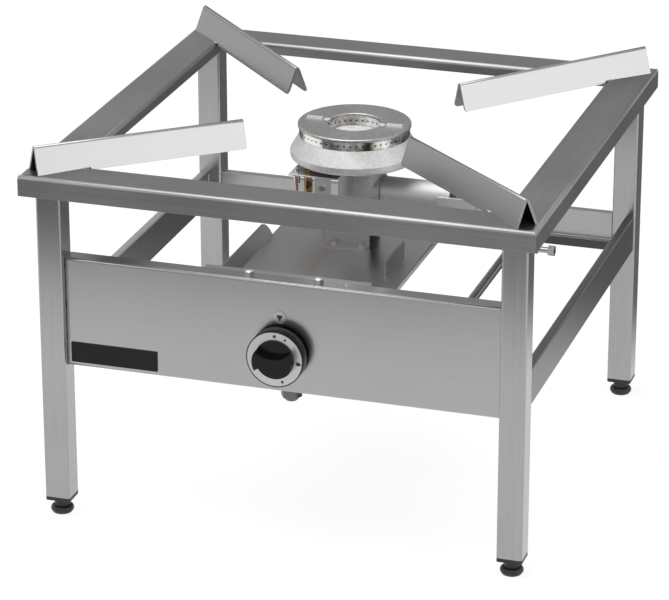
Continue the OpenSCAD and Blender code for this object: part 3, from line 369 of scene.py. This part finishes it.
dress(frame_steel_x, "top_frame_front", "top_frame_back")
dress(frame_steel_y, "top_frame_left", "top_frame_right")
dress(leg_steel, *corners("leg"))
dress(rail_steel, "rail_left", "rail_right")
dress(rail_back_steel, "rail_back")
dress(panel_steel, "control_panel")
dress(tray_steel, "burner_carrier", "burner_stand")
dress(zinc_steel, "pilot_bracket", "injector_yoke", "air_shutter")
dress(support_along_rising, "pot_support_front_left", "pot_support_back_right")
dress(support_along_falling, "pot_support_front_right", "pot_support_back_left")
dress(foot_black, *corners("foot_cap", "foot_pad"))
dress(screw_steel, *corners("foot_stem"), "carrier_bolts", "carrier_nuts", "stand_screws", "tap_spindle")
dress(screw_steel, "thermocouple")
dress(cast_aluminium, "burner_body")
dress(crown_metal, "burner_crown")
dress(ring_metal, "port_ring")
dress(inner_ring_metal, "inner_port_ring")
dress(heated_brass, "pilot_burner")
dress(brass, "injector", "gas_tap_body", "tap_plunger", "feed_pipe_nuts", "supply_pipe_nut")
dress(copper, "pilot_pipe", "thermocouple_lead")
dress(pipe_steel, "feed_pipe", "supply_pipe")
dress(inlet_steel, "inlet_stub", "inlet_nut")
dress(dark_steel, "magnet_unit")
dress(knob_black, "knob")
dress(dial_metal, "dial_ring", "index_disc")
bare = [name for name, piece in nodes.items() if not piece.data.materials]
print("CAD nodes without a finish:", bare)

# %% [markdown]
# One casting or one sheet doesn't look the same all over. The crown's raised ribs get a painted highlight, the bowl
# inside the casting is burnt clean, and the neck under it gets painted shade. The mixing tube is drawn steel, the
# tray's walls and the back rail's lower lip get painted shade, and the left rail's top gets a painted highlight. Each
# of these gets a second finish on the faces whose middle passes a test, because that needs no painted mask.

# %% Second finishes and painted light on some faces
def dress_faces(name, material, test):
    """Gives a second material to the faces of a CAD node whose middle passes a test."""
    mesh = nodes[name].data
    mesh.materials.append(material)
    chosen = [face for face in mesh.polygons if test(face.center)]
    for face in chosen:
        face.material_index = len(mesh.materials) - 1
    print(name, "has", material.name, "on", len(chosen), "of", len(mesh.polygons), "triangles")


FACE_GAP = 0.1 * MM
RIB_HEIGHT = 2 * MM
BOWL_LOW = 371 * MM
BOWL_RADIUS = 31 * MM
THROAT_RIGHT = 35.2 * MM
RAIL_LIP_TOP = 207.4 * MM
TRAY_WALL_RUN = 9 * MM
NEAR_TOP = 1 * MM
rib_foot = node_box("burner_crown")[1].z - RIB_HEIGHT
tray_fold = node_box("burner_carrier")[1].x - TRAY_WALL_RUN
rail_top = node_box("rail_left")[1].z - NEAR_TOP
dress_faces("burner_crown", rib_painted_highlight, lambda middle: middle.z > rib_foot + FACE_GAP)
dress_faces("burner_body", neck_painted_shade, lambda middle: middle.z < BOWL_LOW)
dress_faces(
    "burner_body", bowl_aluminium,
    lambda middle: middle.z > BOWL_LOW and (middle.xy - Vector(BURNER_AXIS)).length < BOWL_RADIUS,
)
dress_faces("burner_body", tube_steel, lambda middle: middle.x > THROAT_RIGHT and middle.z < BOWL_LOW)
dress_faces("burner_carrier", tray_wall_painted_shade, lambda middle: abs(middle.x) > tray_fold)
dress_faces("rail_back", back_lip_painted_shade, lambda middle: middle.z < RAIL_LIP_TOP)
dress_faces("rail_left", rail_top_painted_highlight, lambda middle: middle.z > rail_top)

# %% [markdown]
# A folded or sheared edge is never razor sharp: it has a tiny radius that catches the light as a thin bright line.
# That line could be painted on, but it would not move with the light. Here a Weld modifier joins the loose triangles
# of the CAD mesh, and a Bevel modifier rounds every edge sharper than forty degrees. Heavy sheet gets a wider round
# than thin sheet.

# %% Round the edges of sheet and plastic
WELD_DISTANCE = 0.005 * MM
SHARP_ANGLE = math.radians(40)


def round_edges(width, *names):
    """Adds a small round to each sharp edge of these CAD nodes. The width is in millimetres."""
    for name in names:
        weld = nodes[name].modifiers.new("join_triangles", "WELD")
        weld.merge_threshold = WELD_DISTANCE
        bevel = nodes[name].modifiers.new("edge_round", "BEVEL")
        bevel.width = width * MM
        bevel.segments = 2
        bevel.limit_method = "ANGLE"
        bevel.angle_limit = SHARP_ANGLE
        bevel.harden_normals = True


round_edges(0.7, *corners("pot_support"))
round_edges(0.5, "top_frame_front", "top_frame_back", "top_frame_left", "top_frame_right", "control_panel")
round_edges(0.5, "rail_back", "burner_carrier", "pilot_bracket", "injector_yoke")
round_edges(0.7, "knob")
round_edges(0.4, "index_disc", "burner_crown", "carrier_bolts", "carrier_nuts", "feed_pipe_nuts")
round_edges(0.8, *corners("foot_cap"))
print("edges rounded on", sum(1 for piece in nodes.values() if piece.modifiers), "nodes")

# %% [markdown]
# The pieces from here on are too thin or too small for the CAD model: a plate, the marks on the dial, weld beads, a
# screw head and threads. Each starts as a primitive and is shaped in edit mode. Operators act on what is selected, so
# the helpers below pick points, edges or faces by their place. A finished piece keeps its place in its mesh, and rides
# on the body it moves with.

# %% Helpers for shaping small pieces
def start_piece():
    """Nothing may be selected when a new primitive is added."""
    if bpy.context.object and bpy.context.object.mode != "OBJECT":
        bpy.ops.object.mode_set(mode="OBJECT")
    bpy.ops.object.select_all(action="DESELECT")


def pick(kind, test):
    """In edit mode, selects only the VERT, EDGE or FACE parts that pass a test."""
    piece = bpy.context.active_object
    bpy.ops.object.mode_set(mode="EDIT")
    bpy.ops.mesh.select_mode(type=kind)
    bpy.ops.mesh.select_all(action="DESELECT")
    shape = bmesh.from_edit_mesh(piece.data)
    shape.normal_update()
    parts = {"VERT": shape.verts, "EDGE": shape.edges, "FACE": shape.faces}[kind]
    for part in parts:
        if test(part):
            part.select_set(True)
    bmesh.update_edit_mesh(piece.data)


def lies_along(edge, axis):
    """True for an edge that runs along one axis."""
    way = edge.verts[1].co - edge.verts[0].co
    return abs(way[axis]) > 0.99 * way.length


def finish_piece(name, material, body, place=None, turn=None):
    """Puts the active piece where it belongs, with its place in its mesh, and lets it move with a body."""
    bpy.ops.object.mode_set(mode="OBJECT")
    piece = bpy.context.active_object
    if turn:
        piece.rotation_euler = turn
        bpy.ops.object.transform_apply(location=False, rotation=True, scale=False)
    if place:
        piece.location = place
    bpy.ops.object.transform_apply(location=True, rotation=True, scale=True)
    piece.name = piece.data.name = name
    piece.data.materials.clear()
    piece.data.materials.append(material)
    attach(piece, body)
    return piece


def copy_piece(piece, name, body, change):
    """A copy with a mesh of its own, moved or turned by a matrix, that rides on a body."""
    twin = piece.copy()
    twin.data = piece.data.copy()
    twin.name = twin.data.name = name
    bpy.context.scene.collection.objects.link(twin)
    twin.data.transform(change)
    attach(twin, body)
    return twin


# %% [markdown]
# A small black plate sits at the panel's lower left corner. It is stamped sheet, about a millimetre thick, with
# corners just off square and a fine raised rim. A box is scaled to its size, its four corner edges are bevelled, and
# the front face is inset and pressed back. The rim that stays then catches a line of light.

# %% Bare plate on the panel
PLATE_WIDTH = 105 * MM
PLATE_HEIGHT = 24.6 * MM
PLATE_THICK = 0.8 * MM
PLATE_CORNER = 1.2 * MM
PLATE_RIM = 0.9 * MM
PLATE_SINK = 0.25 * MM
PLATE_MIDDLE = (-199.6 * MM, 206.6 * MM)
panel_low, panel_high, panel_middle = node_box("control_panel")
plate_place = Vector((PLATE_MIDDLE[0], panel_low.y - PLATE_THICK / 2, PLATE_MIDDLE[1]))
start_piece()
bpy.ops.mesh.primitive_cube_add(size=1, scale=(PLATE_WIDTH, PLATE_THICK, PLATE_HEIGHT))
bpy.ops.object.transform_apply(location=False, rotation=False, scale=True)
pick("EDGE", lambda edge: lies_along(edge, 1))
bpy.ops.mesh.bevel(offset=PLATE_CORNER, segments=4)
pick("FACE", lambda face: face.normal.y < -0.9)
bpy.ops.mesh.inset(thickness=PLATE_RIM)
bpy.ops.transform.translate(value=(0, PLATE_SINK, 0))
plate_black = moulded_plastic("plate_black", 0.006, 0.42, grain=2200, shine=0.25)
plate = finish_piece("blank_plate", plate_black, "stand", place=plate_place)
print("plate:", [round(v / MM, 1) for v in plate.dimensions], "mm")

# %% [markdown]
# The panel is not welded along its upright edges, and a narrow gap stands between it and each leg. A dark strip in
# each gap is painted shade. Where the mixing tube is pushed into the casting, a thin dark brown ring lies round the
# joint. Both are thin dark lines in a corner. The strip is a slim box whose front edges are rounded, made once and
# copied to the other leg. The ring is a torus whose outer rim is pinched.

# %% Painted shade in the gaps beside the panel, and a dark ring at the throat
GAP_WIDTH = 0.8 * MM
GAP_DEPTH = 0.7 * MM
GAP_ROUND = 0.2 * MM
GAP_SHORTER = 1 * MM
gap_length = panel_high.z - panel_low.z - GAP_SHORTER
start_piece()
bpy.ops.mesh.primitive_cube_add(size=1, scale=(GAP_WIDTH, GAP_DEPTH, gap_length))
bpy.ops.object.transform_apply(location=False, rotation=False, scale=True)
pick("EDGE", lambda edge: lies_along(edge, 2) and edge.verts[0].co.y < 0)
bpy.ops.mesh.bevel(offset=GAP_ROUND, segments=2)
gap_place = Vector((panel_low.x + GAP_WIDTH / 2, panel_low.y - GAP_ROUND, panel_middle.z))
# The strip is dark steel: painted shade in the gap between panel and leg.
left_shade_strip = finish_piece("panel_shade_strip_left", dark_steel, "stand", place=gap_place)
to_right = Matrix.Translation((panel_high.x - panel_low.x - GAP_WIDTH, 0, 0))
copy_piece(left_shade_strip, "panel_shade_strip_right", "stand", to_right)

TUBE_HEIGHT = 337 * MM
TUBE_RADIUS = 18 * MM
THROAT_RING_MINOR = 1 * MM
THROAT_RING_OUT = 0.5 * MM
# A thin dark brown ring round the joint of the mixing tube and the casting.
throat_ring_brown = tinted_metal("throat_ring_brown", (0.2, 0.08, 0.045), (0.06, 0.03, 0.02), (0.5, 0.7), 300)
start_piece()
bpy.ops.mesh.primitive_torus_add(
    major_radius=TUBE_RADIUS + THROAT_RING_OUT, minor_radius=THROAT_RING_MINOR, major_segments=40, minor_segments=8
)
pick("VERT", lambda vert: vert.co.xy.length > TUBE_RADIUS + THROAT_RING_OUT + 0.7 * THROAT_RING_MINOR)
bpy.ops.transform.resize(value=(1, 1, 0.6))
throat_ring_place = Vector((THROAT_RIGHT + 0.4 * THROAT_RING_MINOR, BURNER_AXIS[1], TUBE_HEIGHT))
finish_piece("throat_dark_ring", throat_ring_brown, "stand", throat_ring_place, (0, math.pi / 2, 0))
print("gap:", round(gap_length / MM, 1), "mm long, dark throat ring at", [round(v / MM, 1) for v in throat_ring_place], "mm")

# %% [markdown]
# Four dark marks are printed on the dial: a dot for off, a spark for lighting, and a large and a small flame. Print is
# a film, so each mark is a flat outline a tenth of a millimetre thick. A circle is the start of each: its points are
# pulled in for the spark and pulled up for the flame. A mark points outwards, and at its setting it stands under the
# index.

# %% Marks on the dial
knob_middle = node_box("knob")[2]
dial_front = node_box("dial_ring")[0].y
MARK_RING = 27.6 * MM
PRINT_THICK = 0.12 * MM
print_black = moulded_plastic("print_black", 0.02, 0.5, grain=2600)


def mark_circle(points, radius):
    """A filled flat circle at the origin, ready to be reshaped."""
    start_piece()
    bpy.ops.mesh.primitive_circle_add(vertices=points, radius=radius, fill_type="NGON")


def thicken_print():
    """Gives the flat active piece the thickness of a printed film."""
    pick("FACE", lambda face: True)
    bpy.ops.mesh.extrude_region_move(TRANSFORM_OT_translate={"value": (0, 0, PRINT_THICK)})
    bpy.ops.mesh.select_all(action="SELECT")
    bpy.ops.mesh.normals_make_consistent(inside=False)


def set_mark(name, clock_degrees):
    """Thickens the flat mark and stands it on the dial, clock_degrees from the top."""
    thicken_print()
    angle = math.radians(clock_degrees)
    place = Vector((MARK_RING * math.sin(angle), dial_front, knob_middle.z + MARK_RING * math.cos(angle)))
    finish_piece(name, print_black, "turning_knob", place, (math.pi / 2, angle, 0))


DOT_RADIUS = 1.9 * MM
SPARK_RADIUS = 2.1 * MM
SPARK_NOTCH = 0.45
mark_circle(20, DOT_RADIUS)
set_mark("mark_off", 0)

mark_circle(16, SPARK_RADIUS)
pick("VERT", lambda vert: vert.index % 2)
bpy.ops.transform.resize(value=(SPARK_NOTCH, SPARK_NOTCH, 1))
set_mark("mark_spark", 27)


def flame(radius):
    """A drop with a drawn-out tip."""
    mark_circle(16, radius)
    pick("VERT", lambda vert: vert.co.y > 0.98 * radius)
    bpy.ops.transform.translate(value=(0, radius * 1.6, 0))
    pick("VERT", lambda vert: 0.6 * radius < vert.co.y < 0.98 * radius)
    bpy.ops.transform.resize(value=(0.7, 1, 1))
    bpy.ops.transform.translate(value=(0, radius * 0.35, 0))


LARGE_FLAME = 2.4 * MM
SMALL_FLAME = 1.5 * MM
flame(LARGE_FLAME)
set_mark("mark_large_flame", 95)
flame(SMALL_FLAME)
set_mark("mark_small_flame", 161)

# %% [markdown]
# The index above the knob is a small metal disc with a dark triangle that points down at the dial. The triangle is a
# circle with three corners, turned so that one looks down, and its corners are rounded a little as in print.

# %% Triangle on the index disc
TRIANGLE_RADIUS = 4.6 * MM
TRIANGLE_CORNER = 0.45 * MM
TRIANGLE_RISE = 0.6 * MM
disc_low, _, disc_middle = node_box("index_disc")
start_piece()
bpy.ops.mesh.primitive_circle_add(vertices=3, radius=TRIANGLE_RADIUS, fill_type="NGON")
pick("VERT", lambda vert: True)
bpy.ops.mesh.bevel(offset=TRIANGLE_CORNER, segments=2, affect="VERTICES")
thicken_print()
index_place = Vector((disc_middle.x, disc_low.y, disc_middle.z + TRIANGLE_RISE))
index_mark = finish_piece(
    "index_triangle", print_black, "stand", index_place, (math.pi / 2, math.pi, 0)
)
print("triangle:", [round(v / MM, 2) for v in index_mark.dimensions], "mm")

# %% [markdown]
# One hexagon screw clamps the pilot's plate to the casting. Its head is a six-sided cylinder. The front rim is
# bevelled as a pressed head is, and the front face is inset and pushed back a little, which leaves the typical raised
# rim.

# %% Screw on the pilot plate
bracket_low = node_box("pilot_bracket")[0]
SCREW_ACROSS = 7 * MM
SCREW_HEIGHT = 3 * MM
HEAD_ROUND = 0.5 * MM
HEAD_RIM = 0.7 * MM
HEAD_SINK = 0.4 * MM
SCREW_X = -18 * MM
SCREW_RISE = 10 * MM
start_piece()
screw_radius = SCREW_ACROSS / 2 / math.cos(math.pi / 6)
bpy.ops.mesh.primitive_cylinder_add(vertices=6, radius=screw_radius, depth=SCREW_HEIGHT)
pick("FACE", lambda face: face.normal.z > 0.9)
bpy.ops.mesh.bevel(offset=HEAD_ROUND, segments=2)
pick("FACE", lambda face: face.normal.z > 0.9)
bpy.ops.mesh.inset(thickness=HEAD_RIM)
bpy.ops.transform.translate(value=(0, 0, -HEAD_SINK))
screw_place = Vector((SCREW_X, bracket_low.y - SCREW_HEIGHT / 2, bracket_low.z + SCREW_RISE))
finish_piece("pilot_plate_screw", screw_steel, "stand", screw_place, (math.pi / 2, 0, 0))
print("screw at", [round(v / MM, 1) for v in screw_place], "mm")

# %% [markdown]
# Where two pieces of the stand are welded, a bead of metal is left, with a ripple for each drop. One bead is modelled
# as a thin cylinder along its seam: its long edges are subdivided, and every second ring is squeezed. Copies of it are
# then laid along the other seams. Long seams join the rails to the legs, and short tacks hold the pot supports on the
# inner edge of the top frame.

# %% Weld beads
weld_metal = cast_metal("weld_metal", 0.42, rough=(0.3, 0.5))
BEAD_RIPPLE = 1.6 * MM
BEAD_WAIST = 0.78
BEAD_TIP = 0.5
RAIL_BEAD = 0.9 * MM
RAIL_SEAM_END = 3 * MM
TACK_BEAD = 1.1 * MM
TACK_START = 1 * MM
TACK_END = 9 * MM
TACK_OUT = 0.4 * MM
SUPPORT_HALF = 8 * MM
RESTING_BAND = 0.6 * MM


def bead_seat(start, end):
    """The matrix that takes a bead from the origin to the seam between two points."""
    return Matrix.Translation((start + end) / 2) @ (end - start).to_track_quat("Z", "Y").to_matrix().to_4x4()


def lay_beads(seams, radius):
    """Shapes a rippled bead for the first seam, and lays a copy along each other seam of the same length."""
    first_name, start, end = seams[0]
    length = (end - start).length
    rings = 2 * max(2, round(length / BEAD_RIPPLE))
    start_piece()
    bpy.ops.mesh.primitive_cylinder_add(vertices=10, radius=radius, depth=length)
    pick("EDGE", lambda edge: lies_along(edge, 2))
    bpy.ops.mesh.subdivide(number_cuts=rings - 1)
    step = length / rings
    pick("VERT", lambda vert: round((vert.co.z + length / 2) / step) % 2 == 1)
    bpy.ops.transform.resize(value=(BEAD_WAIST, BEAD_WAIST, 1))
    pick("VERT", lambda vert: abs(vert.co.z) > length / 2 - 0.1 * step)
    bpy.ops.transform.resize(value=(BEAD_TIP, BEAD_TIP, 1))
    turn = (end - start).to_track_quat("Z", "Y").to_euler()
    first = finish_piece(first_name, weld_metal, "stand", (start + end) / 2, turn)
    to_origin = bead_seat(start, end).inverted()
    for name, start, end in seams[1:]:
        copy_piece(first, name, "stand", bead_seat(start, end) @ to_origin)


rail_seams = []
for side in ("left", "right"):
    rail_low, rail_high, _ = node_box(f"rail_{side}")
    for place, end_y in (("front", rail_low.y), ("back", rail_high.y)):
        for face, face_x in (("low_x", rail_low.x), ("high_x", rail_high.x)):
            seam_low = Vector((face_x, end_y, rail_low.z + RAIL_SEAM_END))
            seam_high = Vector((face_x, end_y, rail_high.z - RAIL_SEAM_END))
            rail_seams.append((f"weld_rail_{side}_{place}_{face}", seam_low, seam_high))
lay_beads(rail_seams, RAIL_BEAD)

tack_seams = []
frame_top = node_box("top_frame_front")[1].z
for name in corners("pot_support"):
    middle = node_box(name)[2]
    along = Vector((middle.x, middle.y - BURNER_AXIS[1], 0)).normalized()
    across = Vector((-along.y, along.x, 0))
    resting = [vert.co for vert in nodes[name].data.vertices if abs(vert.co.z - frame_top) < RESTING_BAND]
    for flank, sign in (("a", 1), ("b", -1)):
        line = [point for point in resting if sign * across.dot(point - middle) > SUPPORT_HALF]
        inner = min(line, key=along.dot)
        seam = inner + across * sign * TACK_OUT
        tack_seams.append((f"weld_{name}_{flank}", seam + along * TACK_START, seam + along * TACK_END))
lay_beads(tack_seams, TACK_BEAD)

# %% [markdown]
# The feet screw out on threaded stems. A real thread is one long helix, and at this pitch rings look the same, so the
# stem is a cylinder whose rings are squeezed in turn. Each stem stands for the smooth one of the CAD model.

# %% Threaded stems
THREAD_PITCH = 1.25 * MM
THREAD_ROOT = 0.86
stem_low, stem_high, stem_middle = node_box("foot_stem_front_left")
stem_radius = (stem_high.x - stem_low.x) / 2
stem_length = stem_high.z - stem_low.z
start_piece()
bpy.ops.mesh.primitive_cylinder_add(vertices=20, radius=stem_radius, depth=stem_length)
pick("EDGE", lambda edge: lies_along(edge, 2))
turns = round(stem_length / THREAD_PITCH)
bpy.ops.mesh.subdivide(number_cuts=2 * turns - 1)
half_pitch = stem_length / (2 * turns)
pick("VERT", lambda vert: round((vert.co.z + stem_length / 2) / half_pitch) % 2 == 0)
bpy.ops.transform.resize(value=(THREAD_ROOT, THREAD_ROOT, 1))
first_stem = finish_piece("thread_front_left", screw_steel, "foot_front_left", stem_middle)
for corner in ("front_right", "back_left", "back_right"):
    move = node_box(f"foot_stem_{corner}")[2] - stem_middle
    twin = copy_piece(first_stem, f"thread_{corner}", f"foot_{corner}", Matrix.Translation(move))
    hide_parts(f"foot_stem_{corner}")
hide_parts("foot_stem_front_left")

# %% [markdown]
# Light decides how steel looks, because steel shows little but what stands round it. In a catalogue picture all of
# that is white. White surroundings would also flood the stool with light from below, so the helper here tells apart
# what a ray is for: it gives one to the camera and to reflections, and zero to rays that only carry light.

# %% Helpers for the white background
def seen_directly(tree):
    """One where the camera, a reflection or a view through glass looks, and zero for all other rays."""
    rays = tree.nodes.new("ShaderNodeLightPath")
    either = tree.nodes.new("ShaderNodeMath")
    either.operation = "MAXIMUM"
    tree.links.new(rays.outputs["Is Camera Ray"], either.inputs[0])
    tree.links.new(rays.outputs["Is Glossy Ray"], either.inputs[1])
    any_of_three = tree.nodes.new("ShaderNodeMath")
    any_of_three.operation = "MAXIMUM"
    tree.links.new(either.outputs["Value"], any_of_three.inputs[0])
    tree.links.new(rays.outputs["Is Transmission Ray"], any_of_three.inputs[1])
    return any_of_three.outputs["Value"]


# %% [markdown]
# The floor is pale paper. To the camera and to reflections it glows white like the background of a catalogue picture,
# and it still takes the stool's soft shadow, because a share of plain diffuse paper is added to the glow. To all other
# rays it is only paper.

# %% Floor
FLOOR_GLOW = 0.87
FLOOR_PAPER = 0.22
PLAIN_PAPER = 0.8
bpy.ops.object.select_all(action="DESELECT")
bpy.ops.mesh.primitive_plane_add(size=14, location=(0, 0, 0))
floor = bpy.context.active_object
floor.name = "studio_floor"
paper = bpy.data.materials.new("floor_paper")
paper.use_nodes = True
paper_tree = paper.node_tree
paper_tree.nodes.remove(paper_tree.nodes["Principled BSDF"])
lit_paper = add_node(paper, "BsdfDiffuse", Color=(*[PLAIN_PAPER] * 3, 1))
shown_paper = add_node(paper, "BsdfDiffuse", Color=(*[FLOOR_PAPER] * 3, 1))
glow = add_node(paper, "Emission", Strength=FLOOR_GLOW)
white = add_node(paper, "AddShader")
join(paper, glow.outputs["Emission"], white.inputs[0])
join(paper, shown_paper.outputs["BSDF"], white.inputs[1])
choice = add_node(paper, "MixShader")
join(paper, seen_directly(paper_tree), choice.inputs["Fac"])
join(paper, lit_paper.outputs["BSDF"], choice.inputs[1])
join(paper, white.outputs["Shader"], choice.inputs[2])
join(paper, choice.outputs["Shader"], paper_tree.nodes["Material Output"].inputs["Surface"])
floor.data.materials.append(paper)
print("floor:", floor.name, tuple(floor.dimensions))

# %% [markdown]
# Three soft area lamps light the stool, as in a product studio: a large one overhead, one far to the right that
# brightens the faces turned to it, and a weaker one on the left. The world is white where it is seen or reflected, and
# paler grey as fill light, so a colour renders about as it was written.

# %% Lamps and world
def soft_lamp(name, place, aim, size, power):
    """A rectangular area lamp at a place, turned to a point."""
    data = bpy.data.lights.new(name, "AREA")
    data.shape = "RECTANGLE"
    data.size, data.size_y = size
    data.energy = power
    lamp = bpy.data.objects.new(name, data)
    lamp.location = place
    lamp.rotation_euler = (Vector(aim) - Vector(place)).to_track_quat("-Z", "Y").to_euler()
    bpy.context.scene.collection.objects.link(lamp)


soft_lamp("lamp_above", (-0.45, -0.35, 2.6), (-0.15, -0.1, 0.2), (2.4, 1.9), 44)
soft_lamp("lamp_right", (5.4, -1.62, 2.0), (0, 0, 0.4), (2.9, 2.7), 47)
soft_lamp("lamp_left", (-2.6, -1.4, 1.6), (0, 0, 0.3), (1.0, 1.2), 4)

WORLD_FILL = 0.4
world = bpy.data.worlds.new("studio_world")
bpy.context.scene.world = world
world.use_nodes = True
background = world.node_tree.nodes["Background"]
background.inputs["Color"].default_value = (1, 1, 1, 1)
fill_or_white = world.node_tree.nodes.new("ShaderNodeMapRange")
fill_or_white.inputs["To Min"].default_value = WORLD_FILL
fill_or_white.inputs["To Max"].default_value = 1.0
world.node_tree.links.new(seen_directly(world.node_tree), fill_or_white.inputs["Value"])
world.node_tree.links.new(fill_or_white.outputs["Result"], background.inputs["Strength"])

# %% [markdown]
# In a room that is white all round, brushed steel turns flat and milky. Photographers lay grey cards where the steel
# mirrors them and the lens does not look. One card lies on the floor in front, one on the floor behind, and one stands
# far behind. They are hidden from the camera and cast no shadow, so only reflections find them, and their near edges
# fade out softly.

# %% Grey cards for the steel to mirror
TONE_LEFT_X = -0.9
TONE_RIGHT_X = 0.5


def grey_card(name, corners_at, left_tone, right_tone, fade_axis, fade_from, fade_to):
    """A card that only reflections see. Its tone runs from left to right, and it fades in along an axis."""
    mesh = bpy.data.meshes.new(name)
    mesh.from_pydata(corners_at, [], [(0, 1, 2, 3)])
    card = bpy.data.objects.new(name, mesh)
    bpy.context.scene.collection.objects.link(card)
    card.visible_camera = False
    card.visible_diffuse = False
    card.visible_shadow = False
    material = bpy.data.materials.new(name)
    material.use_nodes = True
    tree = material.node_tree
    tree.nodes.remove(tree.nodes["Principled BSDF"])
    place = add_node(material, "TexCoord")
    parts = add_node(material, "SeparateXYZ")
    fade = add_node(material, "MapRange", interpolation_type="SMOOTHSTEP", From_Min=fade_from, From_Max=fade_to)
    clear = add_node(material, "BsdfTransparent")
    grey = add_node(material, "Emission")
    across = add_node(
        material, "MapRange",
        From_Min=TONE_LEFT_X, From_Max=TONE_RIGHT_X, To_Min=left_tone, To_Max=right_tone,
    )
    join(material, parts.outputs["X"], across.inputs["Value"])
    join(material, across.outputs["Result"], grey.inputs["Color"])
    both = add_node(material, "MixShader")
    join(material, place.outputs["Object"], parts.inputs["Vector"])
    join(material, parts.outputs[fade_axis], fade.inputs["Value"])
    join(material, fade.outputs["Result"], both.inputs["Fac"])
    join(material, clear.outputs["BSDF"], both.inputs[1])
    join(material, grey.outputs["Emission"], both.inputs[2])
    join(material, both.outputs["Shader"], tree.nodes["Material Output"].inputs["Surface"])
    mesh.materials.append(material)


grey_card(
    "card_in_front",
    [(-3, -4, 0.01), (3, -4, 0.01), (3, -0.8, 0.01), (-3, -0.8, 0.01)],
    0.1, 0.5, "Y", -0.92, -1.17,
)
grey_card(
    "card_behind",
    [(-3.5, 3.5, 0.4), (2.5, 3.5, 0.4), (2.5, 3.5, 3.2), (-3.5, 3.5, 3.2)],
    0.42, 0.42, "Z", 0.4, 0.8,
)
grey_card(
    "card_on_floor_behind",
    [(-2, 0.15, 0.01), (3, 0.15, 0.01), (3, 4, 0.01), (-2, 4, 0.01)],
    0.2, 0.2, "Y", 0.25, 0.6,
)
